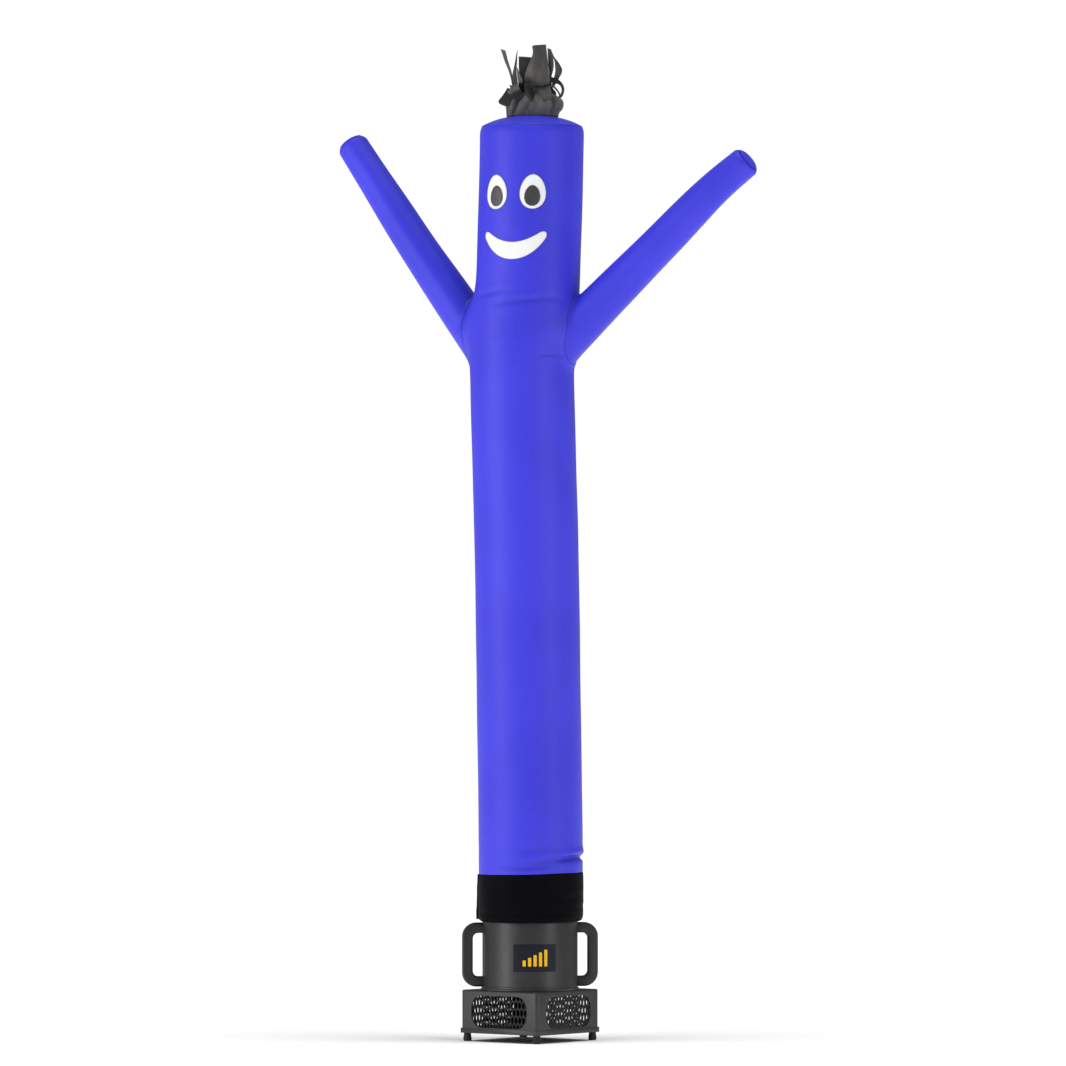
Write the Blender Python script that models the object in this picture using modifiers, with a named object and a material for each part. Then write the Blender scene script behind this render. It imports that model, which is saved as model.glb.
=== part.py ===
"""An inflatable air dancer standing on its blower.

The dancer is a nylon tube with two arms, a domed head with a tuft of ribbons, and a smiling
face of sewn-on patches. A black skirt at its foot fits over the round outlet of a square blower.
Lengths are in metres and +Z is up. The blower's front corner and its bare label plate look to -Y.
An azimuth is an angle in degrees about +Z, counted from -Y towards +X.
"""

import math

import bmesh
import bpy
from mathutils import Matrix, Vector

# Placement: the blower's axis, seen from the middle of the whole object's footprint.
BLOWER_AXIS = (-0.0567, -0.0374)
DANCER_TURN = -24.5  # azimuth that the face looks to
SWAY_TURN = 18.4  # the tube sways, and the tuft spreads, in a plane turned this far from the face

GAP = 0.0003  # between two pieces that touch
CLOTH = 0.002  # thickness of the nylon
PATCH = 0.001  # thickness of a sewn-on patch
PATCH_LIFT = 0.0006  # from the tube to a patch on it

# Blower: four feet, a tray, a square fan box with a grille in each side, and a round outlet.
FOOT_HEIGHT = 0.026
FOOT_RADIUS = 0.013
FOOT_REACH = 0.201  # from the blower's axis
FOOT_SIDES = 12
TRAY_HEIGHT = 0.016
TRAY_FLOOR = 0.003
TRAY_LIP = 0.0015  # how far the tray stands proud of the box
BOSS_RADIUS = 0.022  # rounded corner of the tray, over a foot
BOSS_STEPS = 10
BOX_SIDE = 0.316
BOX_TOP = 0.1635
BOX_WALL = 0.003
BOX_CORNER = 0.014
BOX_EDGE = 0.005
DUCT_RADIUS = 0.140  # hole in the box under the outlet
DUCT_DEPTH = 0.040
WINDOW_WIDTH = 0.226
WINDOW_HEIGHT = 0.102
WINDOW_CORNER = 0.040
WINDOW_LEVEL = 0.096  # height of its middle
GRILLE = 0.002
MESH_PITCH = 0.0150
MESH_ROW = 0.0240
MESH_HOLE = (0.0095, 0.0215)
MESH_RIM = 0.0016
NECK_RADIUS = 0.1525
NECK_WALL = 0.003
NECK_TOP = 0.460
NECK_SIDES = 48
FLANGE_RADIUS = 0.1565
FLANGE_HEIGHT = 0.006
FLANGE_TAPER = 0.002
LABEL_STEPS = 7  # its width, in sides of the neck
LABEL_BOTTOM = 0.227
LABEL_TOP = 0.314
HANDLE_REACH = 0.218
HANDLE_BOTTOM = 0.173
HANDLE_TOP = 0.378
HANDLE_BAR = 0.0335
HANDLE_DEPTH = 0.028
HANDLE_OUTER_CORNER = 0.045
HANDLE_INNER_CORNER = 0.017
HANDLE_ROUNDING = 0.004

# Dancer: the tube, from the top of the skirt to the seam of the head.
TUBE_RADIUS = 0.1665
TUBE_SIDES = 32
HEAD_HEIGHT = 2.924  # height of the seam round the head
HEAD_RISE = 0.034
HEAD_CURVE = 2.8  # how flat the head's dome is, from 2 for a round one
SHOULDER = 0.003  # how far the tube draws in at the seam round the head
SHOULDER_HEIGHT = 0.020
DOME_RINGS = 3
DOME_CROWDING = 1.6  # draws a dome's rings towards its rim

# How far the tube's axis stands to the side at each height.
SWAY = (
    # height, sideways
    (0.380, 0.000),
    (0.536, 0.003),
    (0.830, 0.000),
    (1.220, -0.006),
    (1.600, -0.011),
    (1.860, -0.019),
    (2.110, -0.025),
    (2.210, -0.024),
    (2.300, -0.017),
    (2.400, -0.008),
    (2.530, -0.003),
    (2.720, 0.003),
    (2.924, 0.006),
)

# Heights of the tube's sections, closer together where it is creased.
TUBE_LEVELS = (
    *(0.536, 0.545, 0.556, 0.567, 0.578, 0.589, 0.600, 0.620),
    *(0.850, 1.150, 1.450, 1.750, 1.960, 2.090, 2.140, 2.172),
    *(2.190, 2.208, 2.245, 2.285, 2.325, 2.350, 2.363, 2.376),
    *(2.389, 2.402, 2.420, 2.500, 2.700, 2.895, 2.914, 2.924),
)

# Creases: troughs that run round the tube from one azimuth to another.
CREASE_BLUNTNESS = 0.6  # below 1, a crease stays deep nearly to its ends
CREASES = (
    # from, to, height at its start, middle and end, depth, half width
    (5, 150, 0.566, 0.591, 0.556, 0.0080, 0.0110),
    (-18, 50, 0.541, 0.555, 0.556, 0.0050, 0.0090),
    (33, 72, 2.190, 2.190, 2.188, 0.0050, 0.0110),
    (-18, 21, 2.354, 2.362, 2.366, 0.0050, 0.0100),
    (-48, -5, 2.381, 2.390, 2.402, 0.0040, 0.0100),
)

# Swellings of the tube where it runs out into an arm.
SWELLS = (
    # azimuth, height, rise, half width in degrees, half height
    (-101.6, 2.285, 0.040, 45, 0.080),
    (90.0, 2.275, 0.020, 35, 0.070),
)

# Arms: sections from inside the tube to the tip, in a plane through the tube's axis.
ARM_SIDES = 20
ARM_STEPS = 8
ARM_TIP_RISE = 0.012
ARM_TIP_CURVE = 2.6
ARM_LEVEL = 2.285  # height at which the tube's axis is taken
ARM_ROOT = 0.45  # share of an arm that surely passes the tube's wall
ARM_ZONE = (1.90, 2.65)  # heights between which the arms leave the tube
ARMS = {
    "arm_left": {
        "azimuth": -101.6,
        "sections": (
            # outwards, height, radius
            (0.040, 2.093, 0.0740),
            (0.175, 2.262, 0.0715),
            (0.267, 2.378, 0.0670),
            (0.391, 2.537, 0.0620),
            (0.533, 2.729, 0.0557),
            (0.647, 2.885, 0.0500),
        ),
    },
    "arm_right": {
        "azimuth": 90.0,
        "sections": (
            (0.040, 2.148, 0.0740),
            (0.177, 2.278, 0.0710),
            (0.289, 2.385, 0.0656),
            (0.457, 2.545, 0.0608),
            (0.625, 2.707, 0.0545),
            (0.748, 2.807, 0.0496),
        ),
    },
}

# Face: patches on the tube, placed by azimuth and height.
EYE_AZIMUTH = 22.0
EYE_HEIGHT = 2.711
EYE_WIDTH = 0.085
EYE_TALL = 0.112
PUPIL_HEIGHT = 2.698
PUPIL_WIDTH = 0.050
PUPIL_TALL = 0.066
EGG = 0.13  # how much narrower an eye is above its middle than below
EGG_SIDES = 20
SMILE_AZIMUTH = 0.8
SMILE_HALF_WIDTH = 0.109
SMILE_TIP_HEIGHT = 2.578  # middle of a tip
SMILE_TIP = 0.018  # thickness at a tip
SMILE_MIDDLE = 0.055  # thickness at the middle
SMILE_DROP = 0.055  # from the tips to the middle of the mouth
SMILE_BLUNTNESS = 0.12
SMILE_LEAN = 0.35  # how far its tips lean outwards
SMILE_STEPS = 14

# Skirt: sections from the seam down to the hem, which is drawn in on the outlet.
SKIRT_SECTIONS = (
    # height, radius
    (0.5357, 0.1665),
    (0.5250, 0.1680),
    (0.4180, 0.1695),
    (0.3960, 0.1680),
    (0.3850, 0.1620),
    (0.3820, 0.1546),
)
FLAP_FROM = -112.0  # azimuths between which the skirt's closing flap lies
FLAP_TO = -68.0
FLAP_TOP = 0.531
FLAP_BOTTOM = 0.387
FLAP_SHOULDER = 0.405
FLAP_CLOTH = 0.0015
FLAP_LIFT = 0.0010
FLAP_WAVE = 0.0022  # half height of its free edge's waves
FLAP_WAVES = 1.6  # waves from its bottom to its top
FLAP_RISE_STEPS = 10
FLAP_ROUND_STEPS = 5

# Tuft: a gathered collar on the head, and the ribbons that its upper edge runs out into.
TUFT_STEPS = 30
COLLAR = (
    # above the head, sideways, half width, half depth, waviness
    (0.0018, 0.002, 0.080, 0.058, 0.0040),
    (0.0280, 0.005, 0.086, 0.064, 0.0080),
    (0.0520, 0.008, 0.088, 0.064, 0.0090),
    (0.0760, 0.008, 0.080, 0.058, 0.0060),
)
COLLAR_WAVES = 8
COLLAR_START = 0.8  # where its waves begin, in radians
COLLAR_TWIST = 0.3  # how far each row's waves run on from the last
RIBBON_CLOTH = 0.0015
RIBBONS = (
    # first step, width in steps, taper, rows of outwards, sideways and up from the collar
    (-2, 3, 0.70, ((0.006, 0.002, 0.030), (0.003, 0.006, 0.065), (-0.004, 0.010, 0.100))),
    (1, 4, 0.72, ((0.008, -0.006, 0.030), (0.003, -0.013, 0.080), (-0.008, -0.020, 0.150))),
    (5, 2, 0.90, ((-0.006, 0.000, 0.035), (-0.012, 0.000, 0.085), (-0.026, 0.000, 0.142))),
    (7, 1, 0.90, ((0.014, 0.000, 0.006), (0.018, 0.000, 0.024), (0.008, 0.000, 0.044))),
    (8, 3, 0.80, ((0.002, 0.000, 0.035), (0.012, 0.000, 0.072), (-0.012, 0.000, 0.110))),
    (11, 3, 0.85, ((0.004, 0.000, 0.030), (0.008, 0.003, 0.060), (0.003, 0.005, 0.088))),
    (14, 4, 0.80, ((0.002, 0.006, 0.040), (-0.002, 0.010, 0.080), (-0.004, 0.013, 0.115))),
    (18, 3, 0.60, ((0.003, 0.000, 0.040), (0.012, 0.000, 0.085), (0.024, 0.000, 0.137))),
    (21, 2, 0.50, ((-0.010, 0.000, 0.040), (-0.024, 0.000, 0.085), (-0.038, 0.000, 0.134))),
    (23, 2, 0.25, ((0.012, 0.000, 0.010), (0.024, 0.000, -0.006), (0.036, 0.000, -0.028))),
    (25, 3, 0.95, ((0.006, 0.000, 0.024), (0.017, 0.000, 0.020), (0.024, 0.000, -0.030))),
)

# Colours as linear red, green and blue.
BLUE = (0.075, 0.065, 0.680)
BLACK_NYLON = (0.006, 0.006, 0.010)
RIBBON_GREY = (0.045, 0.045, 0.045)
WHITE = (0.850, 0.850, 0.840)
PUPIL_GREY = (0.060, 0.060, 0.060)
HOUSING_GREY = (0.050, 0.050, 0.050)
HANDLE_GREY = (0.030, 0.030, 0.030)
RUBBER_BLACK = (0.012, 0.012, 0.012)
LABEL_NAVY = (0.010, 0.009, 0.020)


def clear_scene():
    for thing in list(bpy.data.objects):
        bpy.data.objects.remove(thing, do_unlink=True)


def new_collection(name):
    collection = bpy.data.collections.new(name)
    bpy.context.scene.collection.children.link(collection)
    return collection


def new_material(name, colour, roughness, metallic=0.0):
    material = bpy.data.materials.new(name)
    material.use_nodes = True
    shader = material.node_tree.nodes["Principled BSDF"]
    shader.inputs["Base Color"].default_value = (*colour, 1.0)
    shader.inputs["Roughness"].default_value = roughness
    shader.inputs["Metallic"].default_value = metallic
    return material


def new_empty(name, collection, parent=None, location=(0, 0, 0), turn=0.0):
    empty = bpy.data.objects.new(name, None)
    empty.location = location
    empty.rotation_euler.z = math.radians(turn)
    empty.parent = parent
    collection.objects.link(empty)
    return empty


def add_piece(name, mesh, parent, material=None, smooth_below=None):
    """An object in the model, or a hidden cutter where it has no material."""
    piece = bpy.data.objects.new(name, mesh)
    piece.parent = parent
    if material is None:
        CUTTERS.objects.link(piece)
        piece.hide_render = True
        piece.display_type = "WIRE"
        return piece
    MODEL.objects.link(piece)
    if not mesh.materials:
        mesh.materials.append(material)
    if smooth_below:
        mesh.shade_smooth()
        mesh.set_sharp_from_angle(angle=math.radians(smooth_below))
    return piece


def solidify(piece, thickness, outwards=False):
    shell = piece.modifiers.new("Thickness", "SOLIDIFY")
    shell.thickness = thickness
    shell.offset = 1.0 if outwards else -1.0
    shell.use_even_offset = True


def bevel(piece, width, segments, angle=40.0):
    edge = piece.modifiers.new("Rounding", "BEVEL")
    edge.width = width
    edge.segments = segments
    edge.limit_method = "ANGLE"
    edge.angle_limit = math.radians(angle)


def cut(piece, cutter):
    boolean = piece.modifiers.new(cutter.name, "BOOLEAN")
    boolean.operation = "DIFFERENCE"
    boolean.solver = "EXACT"
    boolean.object = cutter


def screw(piece, steps):
    turn = piece.modifiers.new("Turning", "SCREW")
    turn.steps = steps
    turn.render_steps = steps
    turn.use_merge_vertices = True
    turn.merge_threshold = 0.0001


def direction(azimuth):
    angle = math.radians(azimuth)
    return Vector((math.sin(angle), -math.cos(angle), 0.0))


def read_table(rows, at, column):
    """The value of a column at a place along the first one, on a smooth curve through the rows."""
    at = min(max(at, rows[0][0]), rows[-1][0])
    last = len(rows) - 2
    i = next((k for k in range(last + 1) if at <= rows[k + 1][0]), last)

    def slope(k):
        low, high = max(k - 1, 0), min(k + 1, last + 1)
        return (rows[high][column] - rows[low][column]) / (rows[high][0] - rows[low][0])

    span = rows[i + 1][0] - rows[i][0]
    t = (at - rows[i][0]) / span
    start, end = rows[i][column], rows[i + 1][column]
    return (
        start * (1 + 2 * t) * (1 - t) ** 2
        + end * t * t * (3 - 2 * t)
        + span * t * (1 - t) * (slope(i) * (1 - t) - slope(i + 1) * t)
    )


def ring_mesh(name, rings, close_start=False, close_end=False, closed_round=True):
    """A surface through rings of points; each ring runs anticlockwise about the way they follow."""
    form = bmesh.new()
    rows = [[form.verts.new(point) for point in ring] for ring in rings]
    count = len(rows[0])
    for low, high in zip(rows, rows[1:]):
        for j in range(count if closed_round else count - 1):
            k = (j + 1) % count
            form.faces.new((low[j], low[k], high[k], high[j]))
    if close_start:
        form.faces.new(reversed(rows[0]))
    if close_end:
        form.faces.new(rows[-1])
    bmesh.ops.triangulate(form, faces=form.faces, quad_method="FIXED", ngon_method="BEAUTY")
    return finish_mesh(name, form)


def finish_mesh(name, form):
    mesh = bpy.data.meshes.new(name)
    form.to_mesh(mesh)
    form.free()
    return mesh


def dome_mesh(name, radius, rise, power, sides):
    """A shallow dome on the XY plane, flat on top and steep at its rim."""
    form = bmesh.new()
    rows = []
    for i in range(DOME_RINGS):
        reach = radius * (1 - (i / DOME_RINGS) ** DOME_CROWDING)
        height = rise * (1 - (reach / radius) ** power)
        points = [direction(360 * j / sides) * reach for j in range(sides)]
        rows.append([form.verts.new(p + Vector((0, 0, height))) for p in points])
    for low, high in zip(rows, rows[1:]):
        for j in range(sides):
            k = (j + 1) % sides
            form.faces.new((low[j], low[k], high[k], high[j]))
    top = form.verts.new((0, 0, rise))
    for j in range(sides):
        form.faces.new((rows[-1][j], rows[-1][(j + 1) % sides], top))
    return finish_mesh(name, form)


def rounded_rectangle(width, height, corner, steps=5):
    """Points of a rounded rectangle about the origin, anticlockwise."""
    points = []
    for quarter in range(4):
        across = (width / 2 - corner) * (1 if quarter in (0, 3) else -1)
        upward = (height / 2 - corner) * (1 if quarter < 2 else -1)
        for step in range(steps + 1):
            angle = math.radians(90 * quarter + 90 * step / steps)
            points.append((across + corner * math.cos(angle), upward + corner * math.sin(angle)))
    return points


def plate_mesh(name, outlines, thickness):
    """A flat plate in the XY plane: the first outline, less the others, about its middle plane."""
    curve = bpy.data.curves.new(name, "CURVE")
    curve.dimensions = "2D"
    curve.fill_mode = "BOTH"
    curve.extrude = thickness / 2
    for outline in outlines:
        spline = curve.splines.new("POLY")
        spline.points.add(len(outline) - 1)
        for point, (x, y) in zip(spline.points, outline):
            point.co = (x, y, 0, 1)
        spline.use_cyclic_u = True
    drawn = bpy.data.objects.new(name, curve)
    bpy.context.scene.collection.objects.link(drawn)
    bpy.context.view_layer.update()
    seen = drawn.evaluated_get(bpy.context.evaluated_depsgraph_get())
    mesh = bpy.data.meshes.new_from_object(seen)
    bpy.data.objects.remove(drawn, do_unlink=True)
    form = bmesh.new()
    form.from_mesh(mesh)
    bmesh.ops.remove_doubles(form, verts=form.verts, dist=0.00005)
    bmesh.ops.recalc_face_normals(form, faces=form.faces)
    form.to_mesh(mesh)
    form.free()
    mesh.name = name
    return mesh


# ---- Blower ----


def build_feet(parent):
    rubber = new_material("foot_rubber", RUBBER_BLACK, 0.75)
    profile = (
        # radius, height
        (0.0, FOOT_HEIGHT - GAP),
        (FOOT_RADIUS * 0.80, FOOT_HEIGHT - GAP),
        (FOOT_RADIUS * 0.96, FOOT_HEIGHT * 0.85),
        (FOOT_RADIUS, FOOT_HEIGHT * 0.50),
        (FOOT_RADIUS * 0.94, FOOT_HEIGHT * 0.15),
        (FOOT_RADIUS * 0.74, 0.0),
        (0.0, 0.0),
    )
    mesh = bpy.data.meshes.new("foot")
    edges = [(i, i + 1) for i in range(len(profile) - 1)]
    mesh.from_pydata([(x, 0, z) for x, z in profile], edges, [])
    for number in range(4):
        foot = add_piece(f"foot_{number + 1}", mesh, parent, rubber)
        foot.location = direction(90 * number) * FOOT_REACH
        screw(foot, FOOT_SIDES)


def tray_outline():
    """The tray's rounded bosses over the feet, joined by its straight sides."""
    flat = (BOX_SIDE / 2 + TRAY_LIP) - FOOT_REACH * math.sqrt(0.5)
    sweep = 45 + math.degrees(math.acos(flat / BOSS_RADIUS))
    points = []
    for corner in range(4):
        centre = Vector((math.cos(math.radians(90 * corner)), math.sin(math.radians(90 * corner))))
        for step in range(BOSS_STEPS + 1):
            angle = math.radians(90 * corner - sweep + 2 * sweep * step / BOSS_STEPS)
            edge = Vector((math.cos(angle), math.sin(angle))) * BOSS_RADIUS
            points.append(tuple(centre * FOOT_REACH + edge))
    return points


def build_tray(parent, plastic):
    tray = add_piece("base_tray", plate_mesh("base_tray", [tray_outline()], TRAY_HEIGHT), parent, plastic)
    tray.location.z = FOOT_HEIGHT + TRAY_HEIGHT / 2
    inside = BOX_SIDE + 2 * GAP
    outline = rounded_rectangle(inside, inside, BOX_CORNER + GAP)
    pocket = add_piece("cut_tray_pocket", plate_mesh("cut_tray_pocket", [outline], TRAY_HEIGHT), parent)
    pocket.location.z = FOOT_HEIGHT + TRAY_FLOOR + TRAY_HEIGHT / 2
    pocket.rotation_euler.z = math.radians(45)
    cut(tray, pocket)


def box_mesh():
    """The fan box without its floor, rounded at its upright and upper edges."""
    bottom = FOOT_HEIGHT + TRAY_FLOOR + GAP
    form = bmesh.new()
    size = Matrix.Diagonal((BOX_SIDE, BOX_SIDE, BOX_TOP - bottom, 1.0))
    lift = Matrix.Translation((0, 0, (BOX_TOP + bottom) / 2))
    bmesh.ops.create_cube(form, size=1.0, matrix=lift @ size)
    uprights = [e for e in form.edges if abs(e.verts[0].co.z - e.verts[1].co.z) > 0.01]
    bmesh.ops.bevel(form, geom=uprights, offset=BOX_CORNER, segments=4, profile=0.5, affect="EDGES")
    upper = [e for e in form.edges if min(v.co.z for v in e.verts) > BOX_TOP - 0.0001]
    bmesh.ops.bevel(form, geom=upper, offset=BOX_EDGE, segments=2, profile=0.5, affect="EDGES")
    floor = [f for f in form.faces if max(v.co.z for v in f.verts) < bottom + 0.0001]
    bmesh.ops.delete(form, geom=floor, context="FACES")
    return finish_mesh("base_box", form)


def window_place(side):
    """Where a side's window is, with its plate's local Z pointing out of the box."""
    turn = Matrix.Rotation(math.radians(45 + 90 * side), 4, "Z")
    upright = Matrix.Rotation(math.radians(90), 4, "X")
    return turn @ Matrix.Translation((0, -BOX_SIDE / 2 + BOX_WALL / 2, WINDOW_LEVEL)) @ upright


def build_box(parent, plastic):
    box = add_piece("base_box", box_mesh(), parent, plastic, smooth_below=30)
    box.rotation_euler.z = math.radians(45)
    solidify(box, BOX_WALL)
    outline = rounded_rectangle(WINDOW_WIDTH, WINDOW_HEIGHT, WINDOW_CORNER)
    for side in range(4):
        name = f"cut_window_{side + 1}"
        window = add_piece(name, plate_mesh(name, [outline], BOX_WALL * 4), parent)
        window.matrix_local = window_place(side)
        cut(box, window)
    form = bmesh.new()
    bmesh.ops.create_cone(
        form,
        cap_ends=True,
        segments=NECK_SIDES,
        radius1=DUCT_RADIUS,
        radius2=DUCT_RADIUS,
        depth=DUCT_DEPTH,
    )
    duct = add_piece("cut_duct", finish_mesh("cut_duct", form), parent)
    duct.location.z = BOX_TOP
    cut(box, duct)


def in_window(x, y, inset):
    """Whether a point lies inside the window by at least inset."""
    corner = WINDOW_CORNER - inset
    dx = max(abs(x) - (WINDOW_WIDTH / 2 - WINDOW_CORNER), 0.0)
    dy = max(abs(y) - (WINDOW_HEIGHT / 2 - WINDOW_CORNER), 0.0)
    return math.hypot(dx, dy) <= corner


def mesh_holes():
    """Diamond holes in staggered rows, wherever a whole one fits in the window."""
    holes = []
    half_width, half_height = MESH_HOLE[0] / 2, MESH_HOLE[1] / 2
    for row in range(-2, 2):
        y = (row + 0.5) * MESH_ROW
        shift = 0.5 * MESH_PITCH if row % 2 else 0.0
        for column in range(-8, 9):
            x = column * MESH_PITCH + shift
            tips = ((x + half_width, y), (x, y + half_height), (x - half_width, y), (x, y - half_height))
            if all(in_window(*tip, MESH_RIM) for tip in tips):
                holes.append(tips)
    return holes


def build_grilles(parent):
    steel = new_material("grille_metal", HOUSING_GREY, 0.50, 0.30)
    outline = rounded_rectangle(
        WINDOW_WIDTH - 2 * GAP, WINDOW_HEIGHT - 2 * GAP, WINDOW_CORNER - GAP
    )
    mesh = plate_mesh("grille", [outline, *mesh_holes()], GRILLE)
    for side in range(4):
        grille = add_piece(f"grille_{side + 1}", mesh, parent, steel)
        grille.matrix_local = window_place(side)


def build_neck(parent, plastic):
    bottom = BOX_TOP + GAP
    profile = (
        # radius, height: down the outside, then up the inside
        (NECK_RADIUS, NECK_TOP),
        (NECK_RADIUS, bottom + FLANGE_HEIGHT + FLANGE_TAPER),
        (FLANGE_RADIUS, bottom + FLANGE_HEIGHT),
        (FLANGE_RADIUS, bottom),
        (NECK_RADIUS - NECK_WALL, bottom),
        (NECK_RADIUS - NECK_WALL, NECK_TOP),
    )
    mesh = bpy.data.meshes.new("blower_neck")
    edges = [(i, (i + 1) % len(profile)) for i in range(len(profile))]
    mesh.from_pydata([(x, 0, z) for x, z in profile], edges, [])
    neck = add_piece("blower_neck", mesh, parent, plastic, smooth_below=30)
    neck.rotation_euler.z = math.radians(180 / NECK_SIDES)
    screw(neck, NECK_SIDES)


def build_label(parent):
    navy = new_material("label_film", LABEL_NAVY, 0.35)
    step = 360 / NECK_SIDES
    azimuths = [step * (i - LABEL_STEPS / 2) for i in range(LABEL_STEPS + 1)]
    rings = [
        [direction(a) * (NECK_RADIUS + GAP) + Vector((0, 0, z)) for a in azimuths]
        for z in (LABEL_BOTTOM, LABEL_TOP)
    ]
    label = add_piece("label_plate", ring_mesh("label_plate", rings, closed_round=False), parent, navy)
    solidify(label, PATCH, outwards=True)


def arc(centre_x, centre_y, radius, start, end, steps=5):
    angles = [math.radians(start + (end - start) * i / steps) for i in range(steps + 1)]
    return [(centre_x + radius * math.cos(a), centre_y + radius * math.sin(a)) for a in angles]


def handle_outline():
    """A C in the XZ plane, from the outlet's wall and back to it."""
    inner_x = NECK_RADIUS + GAP
    far, near = HANDLE_REACH, HANDLE_REACH - HANDLE_BAR
    low, high = HANDLE_BOTTOM + HANDLE_BAR, HANDLE_TOP - HANDLE_BAR
    outer, inner = HANDLE_OUTER_CORNER, HANDLE_INNER_CORNER
    return [
        (inner_x, HANDLE_BOTTOM),
        *arc(far - outer, HANDLE_BOTTOM + outer, outer, -90, 0),
        *arc(far - outer, HANDLE_TOP - outer, outer, 0, 90),
        (inner_x, HANDLE_TOP),
        (inner_x, high),
        *arc(near - inner, high - inner, inner, 90, 0, 4),
        *arc(near - inner, low + inner, inner, 0, -90, 4),
        (inner_x, low),
    ]


def build_handles(parent):
    plastic = new_material("handle_plastic", HANDLE_GREY, 0.60)
    for name, turn in (("handle_right", 0), ("handle_left", 180)):
        handle = add_piece(name, plate_mesh(name, [handle_outline()], HANDLE_DEPTH), parent, plastic)
        upright = Matrix.Rotation(math.radians(90), 4, "X")
        handle.matrix_local = Matrix.Rotation(math.radians(turn), 4, "Z") @ upright
        bevel(handle, HANDLE_ROUNDING, 2)


def build_blower(root):
    plastic = new_material("housing_plastic", HOUSING_GREY, 0.55)
    build_feet(root)
    build_tray(root, plastic)
    build_box(root, plastic)
    build_grilles(root)
    build_neck(root, plastic)
    build_label(root)
    build_handles(root)


# ---- Dancer ----


def apart(azimuth, other):
    """The angle between two azimuths, from -180 to 180."""
    return (azimuth - other + 180) % 360 - 180


def crease_depth(azimuth, height):
    """How far the creases draw the tube in at a place on it."""
    depth = 0.0
    for start, end, z_start, z_middle, z_end, deep, half_width in CREASES:
        t = 0.5 + apart(azimuth, (start + end) / 2) / (end - start)
        if 0 < t < 1:
            bend = 2 * (z_start + z_end - 2 * z_middle)
            centre = z_start + (z_end - z_start - bend) * t + bend * t * t
            across = (height - centre) / half_width
            depth += deep * math.sin(math.pi * t) ** CREASE_BLUNTNESS * math.exp(-across * across)
    return depth


def tube_radius(azimuth, height):
    swell = 0.0
    for at, level, rise, half_degrees, half_height in SWELLS:
        round_way = apart(azimuth, at) / half_degrees
        up_way = (height - level) / half_height
        swell += rise * math.exp(-round_way * round_way - up_way * up_way)
    shoulder = SHOULDER * max(0.0, 1 - (HEAD_HEIGHT - height) / SHOULDER_HEIGHT) ** 2
    return TUBE_RADIUS + swell - shoulder - crease_depth(azimuth, height)


def tube_axis(height):
    return direction(90 + SWAY_TURN) * read_table(SWAY, height, 1)


def tube_point(azimuth, height, grown=0.0):
    reach = tube_radius(azimuth, height) + grown
    return tube_axis(height) + direction(azimuth) * reach + Vector((0, 0, height))


def tube_rings(levels, grown=0.0):
    azimuths = [360 * j / TUBE_SIDES for j in range(TUBE_SIDES)]
    return [[tube_point(a, z, grown) for a in azimuths] for z in levels]


def arm_line(arm, t):
    """The arm's middle and radius at t, from 0 inside the tube to 1 at its tip."""
    rows = [(i / (len(arm["sections"]) - 1), *row) for i, row in enumerate(arm["sections"])]
    outwards, height, radius = (read_table(rows, t, column) for column in (1, 2, 3))
    base = tube_axis(ARM_LEVEL)
    return base + direction(arm["azimuth"]) * outwards + Vector((0, 0, height)), radius


def arm_heading(arm, t):
    step = 0.01
    before, after = max(t - step, 0.0), min(t + step, 1.0)
    return (arm_line(arm, after)[0] - arm_line(arm, before)[0]).normalized()


def arm_rings(arm, end, thinner=0.0):
    across = direction(arm["azimuth"] + 90)
    rings = []
    for i in range(ARM_STEPS):
        t = end * i / (ARM_STEPS - 1)
        middle, radius = arm_line(arm, t)
        upward = arm_heading(arm, t).cross(across)
        angles = [2 * math.pi * j / ARM_SIDES for j in range(ARM_SIDES)]
        ring = [across * math.cos(a) + upward * math.sin(a) for a in angles]
        rings.append([middle + spoke * (radius - thinner) for spoke in ring])
    return rings


def build_tube(dancer, nylon):
    tube = add_piece("body_tube", ring_mesh("body_tube", tube_rings(TUBE_LEVELS)), dancer, nylon, 60)
    solidify(tube, CLOTH)
    for name, arm in ARMS.items():
        rings = arm_rings(arm, ARM_ROOT, thinner=CLOTH)
        mesh = ring_mesh(f"cut_{name}", rings, close_start=True, close_end=True)
        cut(tube, add_piece(f"cut_{name}", mesh, dancer))


def build_head(dancer, nylon):
    rim = TUBE_RADIUS - SHOULDER
    dome = dome_mesh("head_cap", rim, HEAD_RISE, HEAD_CURVE, TUBE_SIDES)
    cap = add_piece("head_cap", dome, dancer, nylon, 60)
    cap.location = tube_axis(HEAD_HEIGHT) + Vector((0, 0, HEAD_HEIGHT + GAP + CLOTH))
    solidify(cap, CLOTH)


def build_arms(dancer, nylon):
    levels = [z for z in TUBE_LEVELS if ARM_ZONE[0] < z < ARM_ZONE[1]]
    rings = tube_rings(levels, grown=GAP)
    core_mesh = ring_mesh("cut_tube_core", rings, close_start=True, close_end=True)
    core = add_piece("cut_tube_core", core_mesh, dancer)
    for name, arm in ARMS.items():
        sleeve = add_piece(name, ring_mesh(name, arm_rings(arm, 1.0)), dancer, nylon, 60)
        solidify(sleeve, CLOTH)
        cut(sleeve, core)
        tip, radius = arm_line(arm, 1.0)
        heading = arm_heading(arm, 1.0)
        mesh = dome_mesh(f"{name}_cap", radius, ARM_TIP_RISE, ARM_TIP_CURVE, ARM_SIDES)
        cap = add_piece(f"{name}_cap", mesh, dancer, nylon, 60)
        cap.rotation_mode = "QUATERNION"
        cap.rotation_quaternion = heading.to_track_quat("Z", "Y")
        cap.location = tip + heading * (GAP + CLOTH)
        solidify(cap, CLOTH)


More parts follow.
